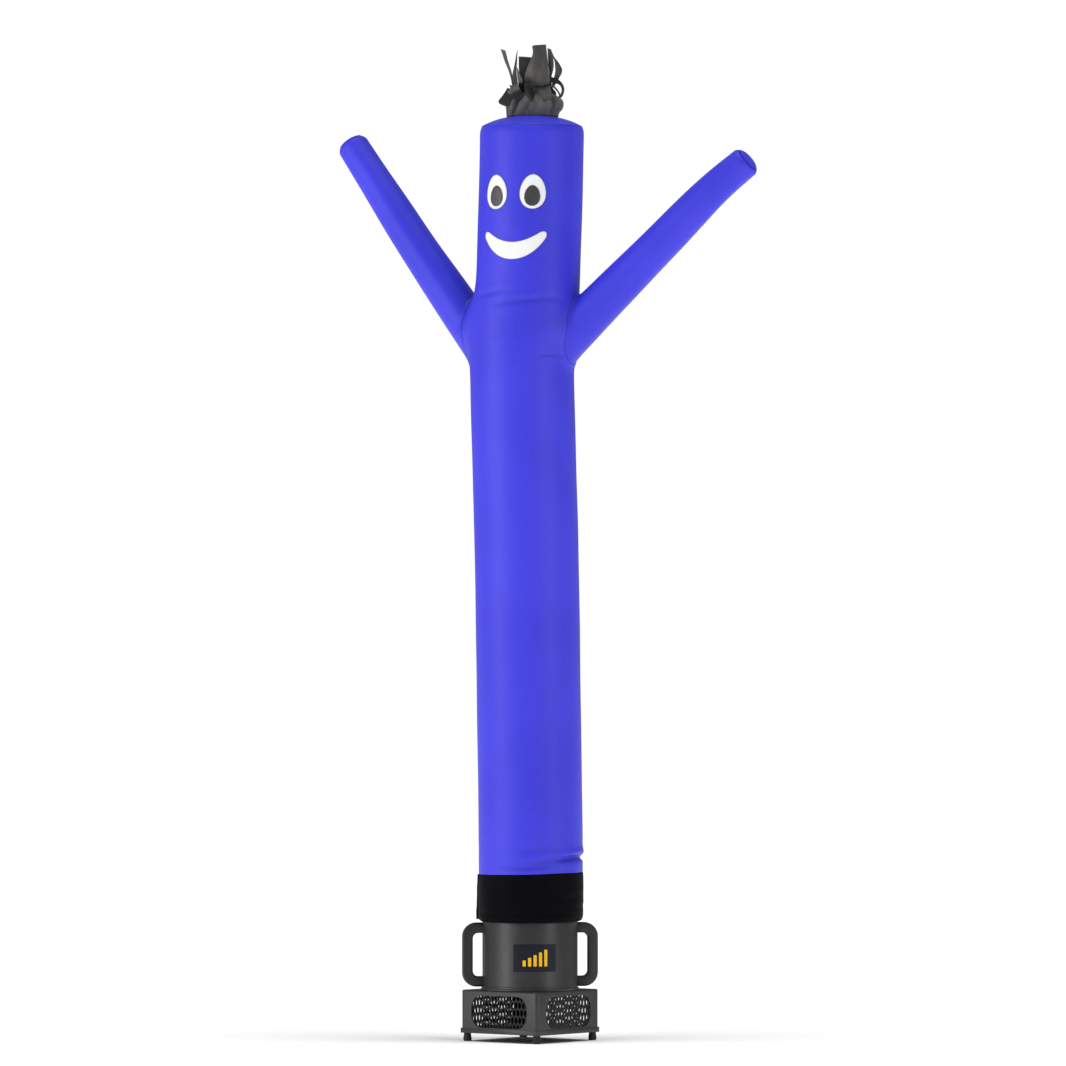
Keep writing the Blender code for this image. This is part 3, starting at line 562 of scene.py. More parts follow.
def coat(
    name, base, other, spots, relief, rough, share=1.0, spread=0.0, slot=None, thread=None, **more
):
    """A finish with soft spots of another tone. spots are their scale and ramp, relief its scale,
    detail, depth and strength, and spread is how much rougher the spots are."""
    nodes = new_material(name, slot)
    spot = nodes.ramp(nodes.noise(spots[0], 4.0, 0.6), *spots[1:])
    under = nodes.bump(nodes.weave(thread)[0], 0.00015, 0.5) if thread else None
    return nodes.finish(
        Base_Color=nodes.mix(nodes.scaled(spot, share), rgb(*base), rgb(*other)),
        Roughness=nodes.math("MULTIPLY_ADD", spot, spread, rough),
        Normal=nodes.bump(nodes.noise(*relief[:2]), *relief[2:], under),
        **more,
    )


def patch_cloth(name, base, shade, rough, gloss):
    sheen = {"Sheen_Weight": 0.1, "Sheen_Roughness": 0.5, "Specular_IOR_Level": gloss}
    spots, relief = (40.0, 0.3, 0.8), (30.0, 3.0, 0.0008, 0.3)
    return coat(name, base, shade, spots, relief, rough, thread=0.0014, **sheen)


def label_print(name, base, shade, rough):
    """The label's film, or the ink on it."""
    wear = {"spots": (35.0, 0.3, 0.8), "relief": (60.0, 3.0, 0.0004, 0.25), "spread": 0.12}
    return coat(name, base, shade, rough=rough, slot="label_film", Specular_IOR_Level=0.22, **wear)


def mesh_metal():
    base, bright = (0.006, 0.006, 0.007), (0.018, 0.018, 0.020)
    spots, relief = (120.0, 0.35, 0.8), (500.0, 3.0, 0.0002, 0.5)
    return coat("grille_metal", base, bright, spots, relief, 0.38, spread=0.15, Metallic=0.35)


def rubber_black():
    base, dust = (0.010, 0.010, 0.010), (0.040, 0.038, 0.036)
    spots, relief = (60.0, 0.5, 0.85), (700.0, 2.0, 0.0003, 0.6)
    return coat("foot_rubber", base, dust, spots, relief, 0.75, share=0.5)


BLUE = nylon_blue()
BLACK = nylon_black()
RIBBON = nylon_ribbon()
WHITE = patch_cloth("white_patch", (0.97, 0.97, 0.97), (0.93, 0.93, 0.95), 0.6, 0.3)
# The white patches' rim thread is blue-grey: partly its stitching, partly painted shade along the patch's
# edge.
WHITE_RIM = thread_rim("white_patch", (0.42, 0.40, 0.64), (0.14, 0.12, 0.34))
GREY = patch_cloth("grey_patch", (0.036, 0.036, 0.038), (0.050, 0.050, 0.053), 0.26, 0.6)
GREY_RIM = thread_rim("grey_patch", (0.050, 0.050, 0.055), (0.012, 0.012, 0.016))
HOUSING = moulded("housing_plastic", (0.021, 0.021, 0.022), (0.046, 0.046, 0.047), 0.42)
HANDLE = moulded("handle_plastic", (0.012, 0.012, 0.0125), (0.028, 0.028, 0.028), 0.50)
METAL = mesh_metal()
RUBBER = rubber_black()
FILM = label_print("label_film", (0.0060, 0.0060, 0.0150), (0.0085, 0.0085, 0.0200), 0.45)
INK = label_print("label_ink", (0.92, 0.52, 0.004), (0.86, 0.46, 0.004), 0.5)


# ---- The blown-up envelope ----


def sway_at(height):
    """The tube's axis at each height, in the dancer's frame, on the ground."""
    [across] = read_table(SWAY, height)
    return direction(np.full_like(across, 90.0 + SWAY_TURN)) * across[..., None]


def from_fold(azimuth, height, fold):
    """How far along a fold each place is, from 0 to 1, how far above it in half widths, and its depth."""
    start, end, z_start, z_middle, z_end, deep, half_width = fold
    t = np.clip(0.5 + apart(azimuth, (start + end) / 2) / (end - start), 0, 1)
    bend = 2 * (z_start + z_end - 2 * z_middle)
    centre = z_start + (z_end - z_start - bend) * t + bend * t * t
    return t, (height - centre) / half_width, deep


def crease_rise(azimuth, height):
    """How far the creases move the cloth outwards, and how deep in one each place lies, from 0 to 1, for the
    painted shade in its valley.
    """
    rise = np.zeros_like(azimuth)
    sunk = np.zeros_like(azimuth)
    for crease in CREASES:
        t, above, deep = from_fold(azimuth, height, crease)
        fade = np.sin(np.pi * t) ** CREASE_BLUNTNESS
        valley = fade * np.exp(-(above**2))
        roll = fade * ROLL_SHARE * np.exp(-(((above - ROLL_AWAY) / ROLL_WIDTH) ** 2))
        rise += deep * (roll - valley)
        sunk = np.maximum(sunk, valley * min(deep / DARK_DEPTH, 1.0))
    return rise, sunk


def tilted(azimuth, height, low, high):
    """Heights raised or lowered with the tilted seam, all of it at high and none at low."""
    return height + SEAM_TILT * np.sin(np.radians(azimuth)) * np.clip((height - low) / (high - low), 0, 1)


def pucker(across, turns, away):
    """Small gathers that a seam draws in the cloth; away is how far a place is from it."""
    return PUCKER_RISE * np.exp(-np.abs(away) / PUCKER_REACH) * np.sin(turns * across)


def tube_reach(azimuth, height):
    """The tube's radius, without its arms."""
    reach = np.full_like(azimuth, TUBE_RADIUS)
    for at, level, rise, half_degrees, half_height in SWELLS:
        round_way = apart(azimuth, at) / half_degrees
        up_way = (height - level) / half_height
        reach += rise * np.exp(-(round_way**2) - up_way**2)
    reach -= SHOULDER * np.clip(1 - (HEAD_HEIGHT - height) / SHOULDER_HEIGHT, 0, 1) ** 2
    turn = np.radians(azimuth)
    for rise, turns, length, start in WAVES:
        reach += rise * np.sin(turns * turn + 2 * np.pi * height / length + start)
    reach += pucker(turn, PUCKERS, HEAD_HEIGHT - height) + pucker(turn + 1, PUCKERS, height - TUBE_BOTTOM)
    return reach + crease_rise(azimuth, height)[0]


def tube_place(azimuth, height, reach):
    return sway_at(height) + direction(azimuth) * reach[..., None] + UP * height[..., None]


def tube_distance(points):
    """How far points are outside the tube's wall."""
    flat = points - sway_at(points[..., 2])
    azimuth = np.degrees(np.arctan2(flat[..., 0], -flat[..., 1]))
    return np.hypot(flat[..., 0], flat[..., 1]) - tube_reach(azimuth, points[..., 2])


def arm_line(arm, t):
    """The arm's middle and radius at t, from 0 inside the tube to 1 at its tip."""
    last = len(arm["sections"]) - 1
    rows = [(i / last, *row) for i, row in enumerate(arm["sections"])]
    outwards, height, radius = read_table(rows, t)
    base = sway_at(np.array(ARM_LEVEL))
    near_tip = ARM_SHOULDER_END * np.clip(1 - (1 - t) / ARM_SHOULDER_SHARE, 0, 1)
    radius = radius - ARM_SHOULDER * (1 - np.sqrt(1 - near_tip**2))
    way = direction(np.array(arm["azimuth"]))
    return base + way * outwards[..., None] + UP * height[..., None], radius


def arm_distance(points, arm):
    """How far points are outside the arm's wall."""
    middles, radii = arm_line(arm, np.linspace(0, 0.8, 260))
    found = []
    for some in np.array_split(points, len(points) // 4000 + 1):
        gaps = np.linalg.norm(some[:, None, :] - middles[None], axis=2)
        nearest = gaps.argmin(axis=1)
        found.append(gaps[np.arange(len(some)), nearest] - radii[nearest])
    return np.concatenate(found)


def drawn_out(own, other):
    """How far two surfaces that meet are rounded into each other."""
    near = np.clip(1 - np.abs(other - own) / ARM_FILLET, 0, None)
    return ARM_FILLET / 4 * near**2


def eased(own, other):
    """One step towards the rounding, which is settled after a few."""
    return 0.4 * own + 0.6 * drawn_out(own, other)


def spaced(low, high, coarse, fine, zones, spread=0.05):
    """Places from low to high, closer together in and near the zones."""
    places = [low]
    while places[-1] < high:
        here = places[-1]
        away = min(max(start - here, here - end, 0.0) for start, end in zones)
        places.append(here + fine + (coarse - fine) * min(away / spread, 1.0))
    places = np.array(places)
    return low + (places - low) * (high - low) / (places[-1] - low)


def build_tube():
    levels = spaced(TUBE_BOTTOM, HEAD_HEIGHT, *TUBE_STEPS, FINE_LEVELS)
    turns = 180 + circle(TUBE_COLUMNS, 360)
    height, azimuth = grid(levels, turns)
    height = tilted(azimuth, height, TUBE_BOTTOM + TILT_REACH, TUBE_BOTTOM)
    plain = tube_reach(azimuth, height)
    reach = plain.copy()
    beside_arms = np.full_like(reach, 9.0)
    rows = (levels > ARM_ROOTS[0]) & (levels < ARM_ROOTS[1])
    for _ in range(EASING_STEPS):
        points = tube_place(azimuth[rows], height[rows], reach[rows])
        gaps = [arm_distance(points.reshape(-1, 3), arm) for arm in ARMS.values()]
        other = np.minimum(*gaps).reshape(points.shape[:2])
        own = reach[rows] - plain[rows]
        beside_arms[rows] = other - own
        reach[rows] = plain[rows] + eased(own, other)
    # Painted shade, darker in the creases' valleys and on the tube just above each arm.
    sunk = CREASE_SHADE * crease_rise(azimuth, height)[1]
    shade = ARM_SHADE * np.exp(-np.abs(beside_arms) / ARM_SHADE_REACH)
    sunk = np.maximum(sunk, shade * (height > ARM_LEVEL))
    flat = layout(np.radians(np.append(turns, turns[0] + 360) - turns[0]) * TUBE_RADIUS, levels)
    points = from_dancer(tube_place(azimuth, height, reach))
    mesh = grid_mesh("tube_cloth", points, flat, sunk=sunk, kept=beside_arms + SEAM_LAP)
    piece = cloth(clipped(mesh, "kept"), BLUE, "body_tube")


def build_back_seam():
    """The felled seam that closes the tube, a flat ridge down its back."""
    height = np.linspace(TUBE_BOTTOM + 0.001, HEAD_HEIGHT - 0.001, 320)
    azimuth = np.full_like(height, 180.0)
    path = from_dancer(tube_place(azimuth, height, tube_reach(azimuth, height) + 0.0002))
    outward = from_dancer(tube_place(azimuth, height, np.full_like(height, 1.0))) - path
    sides = 12
    rings = tube_path(path, SEAM_WIDTH / 2, False, sides, 0.22, outward)
    flat = layout(np.arange(sides + 1) * SEAM_WIDTH * 2 / sides, height)
    dress(new_object(grid_mesh("tube_seam", rings, flat)), BLUE)


def arm_frame(arm, t):
    """Middles, radii and directions along, above and across an arm."""
    middle, radius = arm_line(arm, t)
    ahead, _ = arm_line(arm, np.minimum(t + 0.01, 1.0))
    behind, _ = arm_line(arm, np.maximum(t - 0.01, 0.0))
    heading = unit(ahead - behind)
    across = direction(np.array(arm["azimuth"] + 90.0))
    return middle, radius, heading, np.cross(heading, across), across


def arm_places(arm, t, angle):
    """Points on the arm, rounded into the tube, how far each is from the tube's share, and the
    arm's radii and spokes."""
    middle, radius, _, upward, across = arm_frame(arm, t)
    spoke = across * np.cos(angle)[..., None] + upward * np.sin(angle)[..., None]
    grown = np.zeros_like(radius)
    for _ in range(EASING_STEPS):
        points = middle + spoke * (radius + grown)[..., None]
        other = tube_distance(points)
        grown = eased(grown, other)
    return points, other - grown, radius, spoke


def arm_roots(arm, angles):
    """Where along the arm its cloth leaves the tube, at each angle round it."""
    t = np.linspace(0.08, 0.75, 240)
    share = arm_places(arm, *grid(t, angles))[1]
    inside = share < 0
    last = inside.shape[0] - 1 - np.argmax(inside[::-1], axis=0)
    columns = np.arange(len(angles))
    below, above = share[last, columns], share[last + 1, columns]
    return t[last] + (t[last + 1] - t[last]) * below / (below - above)


def build_arm(side, arm):
    name = f"arm_{side}_cloth"
    angles = circle(ARM_COLUMNS)
    roots = arm_roots(arm, angles)
    seam = arm_places(arm, roots[None, :], angles[None, :])[0]
    roots = roots - SEAM_LAP / arm["length"]
    along = spaced(0.0, 1.0, *ARM_STEPS, FINE_ARM, spread=0.10)
    t = roots[None, :] + (1 - roots[None, :]) * along[:, None]
    angle = np.broadcast_to(angles, t.shape)
    points, _, radius, spoke = arm_places(arm, t, angle)
    length = lengths_along(points)
    to_tip = length[-1] - length
    rise = pucker(angle, 30, length) + pucker(angle + 1, ARM_PUCKERS, to_tip)
    rise += 0.0005 * np.sin(3 * angle + length / 0.05) * np.clip(length / 0.05, 0, 1)
    beside_ridge = apart(np.degrees(angle), arm["ridge"]) / RIDGE_WIDTH
    ends = np.clip(length / RIDGE_FADE, 0, 1) * np.clip(to_tip / RIDGE_FADE, 0, 1)
    rise += RIDGE * np.exp(-(beside_ridge**2)) * ends
    points = points + spoke * rise[..., None]
    flat_u = np.append(angles, 2 * np.pi) * radius.mean()
    flat_v = np.hstack([length, length[:, :1]])
    flat = np.stack(np.broadcast_arrays(flat_u, flat_v), axis=-1)
    # Painted shade round the root, darker on its upper side.
    shade = ROOT_SHADE + arm["shade"] * np.clip(np.sin(angle), 0, 1)
    shade = shade * np.exp(-length / ROOT_SHADE_REACH)
    piece = cloth(grid_mesh(name, from_dancer(points), flat, sunk=shade), BLUE, f"arm_{side}")
    build_cord(f"arm_{side}_seam", from_dancer(seam[0]), ARM_CORD, BLUE, flatten=1.0)
    build_arm_tip(side, arm)


def build_arm_tip(side, arm):
    middle, radius, heading, _, _ = arm_frame(arm, np.array(1.0))
    radius = float(radius)
    lean = Vector(heading).to_track_quat("Z", "Y").to_matrix().to_4x4()
    place = Matrix.Translation(Vector(middle) + Vector(heading) * (0.0003 + CLOTH)) @ lean
    names = (f"arm_{side}_tip_cloth", f"arm_{side}_cap", f"arm_{side}_cloth")
    shape = (radius, ARM_TIP_RISE, ARM_TIP_CURVE)
    place = build_cap(*names, *shape, ARM_COLUMNS, ARM_PUCKERS, place)
    ring = direction(circle(ARM_COLUMNS, 360)) * (radius + 0.0002)
    ring = ring @ place[:3, :3].T + place[:3, 3]
    build_cord(f"arm_{side}_tip_seam", ring, TIP_CORD, BLUE, outward=place[:3, 2])


def build_cap(name, node, under, radius, rise, power, columns, puckers, place):
    """A round of cloth that closes the tube or an arm, and its place in the row frame."""
    reach, angle = grid((1 - np.linspace(0, 1, 26) ** 1.5) * radius, circle(columns))
    height = rise * (1 - (reach / radius) ** power)
    gathers = 1.6 * pucker(angle, puckers, radius - reach)
    height += gathers * np.clip((radius - reach) / 0.004, 0, 1)
    height += 0.0006 * np.sin(2 * angle + 1.0) * np.sin(math.pi * reach / radius)
    points = np.stack([reach * np.sin(angle), -reach * np.cos(angle), height], axis=-1)
    mesh = welded(grid_mesh(name, points, points[..., :2]))
    place = Matrix.Translation(AXIS) @ Matrix.Rotation(math.radians(DANCER_TURN), 4, "Z") @ place
    mesh.transform(place)
    piece = cloth(mesh, BLUE, node)
    return np.array(place)


def build_head():
    rim = TUBE_RADIUS - SHOULDER
    place = Matrix.Translation(sway_at(np.array(HEAD_HEIGHT)) + UP * (HEAD_HEIGHT + CAP_LIFT))
    names = ("head_cloth", "head_cap", "tube_cloth")
    build_cap(*names, rim, HEAD_RISE, HEAD_CURVE, TUBE_COLUMNS, PUCKERS, place)
    turns = circle(2 * TUBE_COLUMNS, 360)
    ring = tube_place(turns, np.full_like(turns, HEAD_HEIGHT + 0.0002), np.full_like(turns, rim - 0.0003))
    build_cord("head_seam", from_dancer(ring), HEAD_CORD, BLUE)


# ---- The face ----

PATCH = 0.0009
PATCH_LIFT = 0.0006
EYES = {"left": (-23.2, -22.2), "right": (20.6, 20.1)}  # where an eye and its pupil are
EYE_HEIGHT = 2.710
EYE_SIZE = (0.084, 0.110)
PUPIL_HEIGHT = 2.697
PUPIL_SIZE = (0.048, 0.064)
EGG = 0.13
SMILE_AZIMUTH = -0.4
SMILE_HALF_WIDTH = 0.107
SMILE_TIP_HEIGHT = 2.581
SMILE_TIP = 0.021
SMILE_MIDDLE = 0.055
SMILE_DROP = 0.0585
RIM = 0.0010  # half width of a patch's stitched border


def on_tube(places, lift):
    """Points over the tube, from lengths round it from the face's middle, and heights."""
    azimuth, height = np.degrees(places[..., 0] / TUBE_RADIUS), places[..., 1]
    return from_dancer(tube_place(azimuth, height, tube_reach(azimuth, height) + lift))


def build_patch(name, node, outline, middle, lift, finish, rim):
    """A patch whose outline, as rows of (across, height), is filled towards its middle line."""
    scale = (1 - np.linspace(0, 1, 9) ** 1.4)[:, None, None]
    flat = middle + (outline - middle) * scale
    edge = np.linalg.norm(flat - outline, axis=2)
    sink = PATCH * 0.7 * np.exp(-edge / 0.0012)
    mesh = welded(grid_mesh(name, on_tube(flat, lift + PATCH - sink), flat), 0.00005)
    piece = cloth(mesh, finish, node, thickness=PATCH * 0.9)
    outward = turned(direction(np.degrees(outline[:, 0] / TUBE_RADIUS)), DANCER_TURN)
    ring = on_tube(outline, lift + PATCH * 0.5)
    build_cord(f"{name}_rim", ring, RIM, rim, flatten=0.6, outward=outward)


def egg(azimuth, height, size):
    """An egg's outline, narrower at the top, and its middle."""
    middle = np.array([[math.radians(azimuth) * TUBE_RADIUS, height]])
    angle = circle(96)
    across = np.cos(angle) * (1 - EGG * np.sin(angle)) * size[0] / 2
    return middle + np.stack([across, np.sin(angle) * size[1] / 2], axis=-1), middle


def smile_line(t):
    """The smile's middle line, with t from -1 at one end to 1 at the other."""
    across = math.radians(SMILE_AZIMUTH) * TUBE_RADIUS + SMILE_HALF_WIDTH * t
    return np.stack([across, SMILE_TIP_HEIGHT - SMILE_DROP * (1 - t * t)], axis=-1)


def smile_outline():
    """The crescent's border with its rounded tips, and the middle line that each place belongs to."""
    angle = circle(120)
    t = np.cos(angle)
    slope = 2 * SMILE_DROP * t / SMILE_HALF_WIDTH
    plump = SMILE_TIP + (SMILE_MIDDLE - SMILE_TIP) * (1 - t * t)
    tip = SMILE_TIP / 2 / SMILE_HALF_WIDTH
    in_tip = np.clip((np.abs(t) - 1 + tip) / tip, 0, 1)
    half = plump / 2 * np.sqrt(1 - in_tip**2) * np.sign(np.sin(angle))
    away = half / np.sqrt(1 + slope**2)
    border = smile_line(t) + np.stack([-away * slope, away], axis=-1)
    return border, smile_line(np.clip(t, tip - 1, 1 - tip))


def build_face():
    for side, (eye, pupil) in EYES.items():
        outline = egg(eye, EYE_HEIGHT, EYE_SIZE)
        build_patch(f"eye_{side}_cloth", f"eye_white_{side}", *outline, PATCH_LIFT, WHITE, WHITE_RIM)
        outline = egg(pupil, PUPIL_HEIGHT, PUPIL_SIZE)
        build_patch(f"pupil_{side}_cloth", f"pupil_{side}", *outline, PATCH_LIFT * 2 + PATCH, GREY, GREY_RIM)
    build_patch("smile_cloth", "smile", *smile_outline(), PATCH_LIFT, WHITE, WHITE_RIM)


# ---- The skirt ----

SKIRT_BOTTOM = 0.3815
SKIRT_TOP = 0.5354
SKIRT_LEAST = 0.1548  # the least radius, where it lies on the neck
SKIRT_TILT_FROM = 0.41  # the height where the top seam's tilt begins
SKIRT_SEAMS = {"skirt_top_seam": 0.5352, "skirt_hem_seam": 0.4020}
SKIRT_SECTIONS = (
    # height, radius
    (0.3815, 0.1550), (0.3835, 0.1600), (0.3880, 0.1645), (0.3960, 0.1680),
    (0.4180, 0.1693), (0.4600, 0.1690), (0.5000, 0.1684), (0.5250, 0.1678),
    (0.5330, 0.1668), (0.5354, 0.1655),
)
SKIRT_FOLDS = (
    # from, to, height at its start, middle and end, depth, half width
    (20, 104, 0.470, 0.458, 0.472, 0.0020, 0.0090),
    (48, 140, 0.436, 0.428, 0.440, 0.0012, 0.0080),
    (-60, 10, 0.418, 0.412, 0.420, 0.0012, 0.0080),
    (150, 250, 0.470, 0.480, 0.462, 0.0022, 0.0100),
)
HEM_GATHERS = 34
HEM_RISE = 0.0010
SKIRT_STEPS = (0.0045, 0.0016)
FINE_SKIRT = [(0.3815, 0.395), (0.527, 0.5354)]
FLAP_FROM = -112.0
FLAP_TO = -68.0
FLAP_TOP = 0.531
FLAP_BOTTOM = 0.387
FLAP_LIFT = 0.0028  # how far it lies off the skirt
FLAP_FLARE = 0.0030  # and how much further out its middle bulges


def skirt_reach(azimuth, height):
    [reach] = read_table(SKIRT_SECTIONS, height)
    for fold in SKIRT_FOLDS:
        t, above, deep = from_fold(azimuth, height, fold)
        reach -= deep * np.sin(np.pi * t) * (np.exp(-(above**2)) - 0.4 * np.exp(-((above - 2) ** 2)))
    turn = np.radians(azimuth)
    gather = np.exp(-((height - 0.3835) / 0.012)) * np.clip((height - SKIRT_BOTTOM) / 0.003, 0, 1)
    reach += HEM_RISE * gather * np.sin(HEM_GATHERS * turn)
    reach += 0.0008 * np.sin(3 * turn + 20 * height) + 0.0005 * np.sin(7 * turn - 33 * height)
    return np.maximum(reach, SKIRT_LEAST)


def build_skirt():
    levels = spaced(SKIRT_BOTTOM, SKIRT_TOP, *SKIRT_STEPS, FINE_SKIRT, spread=0.02)
    turns = 180 + circle(TUBE_COLUMNS, 360)
    height, azimuth = grid(levels, turns)
    level = tilted(azimuth, height, SKIRT_TILT_FROM, SKIRT_TOP)
    points = tube_place(azimuth, level, skirt_reach(azimuth, height))
    flat = layout(np.radians(np.append(turns, turns[0] + 360)) * TUBE_RADIUS, levels)
    piece = cloth(grid_mesh("skirt_cloth", from_dancer(points), flat), BLACK, "skirt")
    turns = circle(2 * TUBE_COLUMNS, 360)
    for name, level in SKIRT_SEAMS.items():
        height = np.full_like(turns, level)
        reach = skirt_reach(turns, height) + 0.0002
        ring = tube_place(turns, tilted(turns, height, SKIRT_TILT_FROM, SKIRT_TOP), reach)
        build_cord(name, from_dancer(ring), SKIRT_CORD, BLACK)


def build_flap():
    """The end of the skirt's cloth, lapped over its start, with a wavy free edge."""
    up, across = grid(np.linspace(0, 1, 40), np.linspace(0, 1, 22))
    height = FLAP_BOTTOM + (FLAP_TOP - FLAP_BOTTOM) * up + 0.0015 * np.sin(9 * across)
    azimuth = FLAP_FROM + (FLAP_TO - FLAP_FROM) * across
    free = np.clip(1 - np.abs(2 * across - 1), 0, 1) ** 0.8
    wave = FLAP_FLARE + 0.0016 * np.sin(2 * np.pi * 1.6 * up + 0.6)
    wave += 0.0008 * np.sin(2 * np.pi * 3.7 * up + 5 * across)
    hang = skirt_reach(azimuth, np.maximum(height, 0.405))
    points = tube_place(azimuth, height, hang + FLAP_LIFT + wave * free)
    flat = np.stack([np.radians(azimuth) * TUBE_RADIUS, height], axis=-1)
    mesh = grid_mesh("skirt_flap_cloth", from_dancer(points), flat, closed=False)
    piece = cloth(mesh, BLACK, "skirt_flap")


# ---- The tuft ----

RIBBON_CLOTH = 0.0007
COLLAR_STEPS = (216, 40)  # round it and up it
COLLAR = (
    # share of the way up, sideways, half width, half depth
    (0.00, 0.003, 0.082, 0.060),
    (0.15, 0.004, 0.083, 0.063),
    (0.35, 0.009, 0.088, 0.067),
    (0.60, 0.011, 0.090, 0.067),
    (0.85, 0.011, 0.084, 0.060),
    (1.00, 0.008, 0.070, 0.046),
)
COLLAR_TOP = (
    # azimuth, how far its edge is above the head
    (-180, 0.070), (-135, 0.062), (-95, 0.056), (-60, 0.066), (-20, 0.074),
    (40, 0.074), (75, 0.058), (105, 0.060), (145, 0.072), (180, 0.070),
)
PLEATS = (
    # azimuth at the bottom, azimuth at the top, depth, half width in degrees
    (-88, -80, -0.0060, 9), (-54, -34, -0.0075, 8), (-38, -20, 0.0050, 7),
    (-22, -4, -0.0035, 8), (26, 20, 0.0030, 12), (46, 38, -0.0050, 7),
    (64, 60, 0.0035, 12), (96, 88, -0.0050, 9), (112, 112, 0.0060, 12),
    (140, 128, -0.0090, 10), (166, 160, 0.0060, 12), (190, 184, -0.0080, 9),
    (212, 214, 0.0070, 11), (238, 230, -0.0090, 10), (262, 262, 0.0050, 10),
)
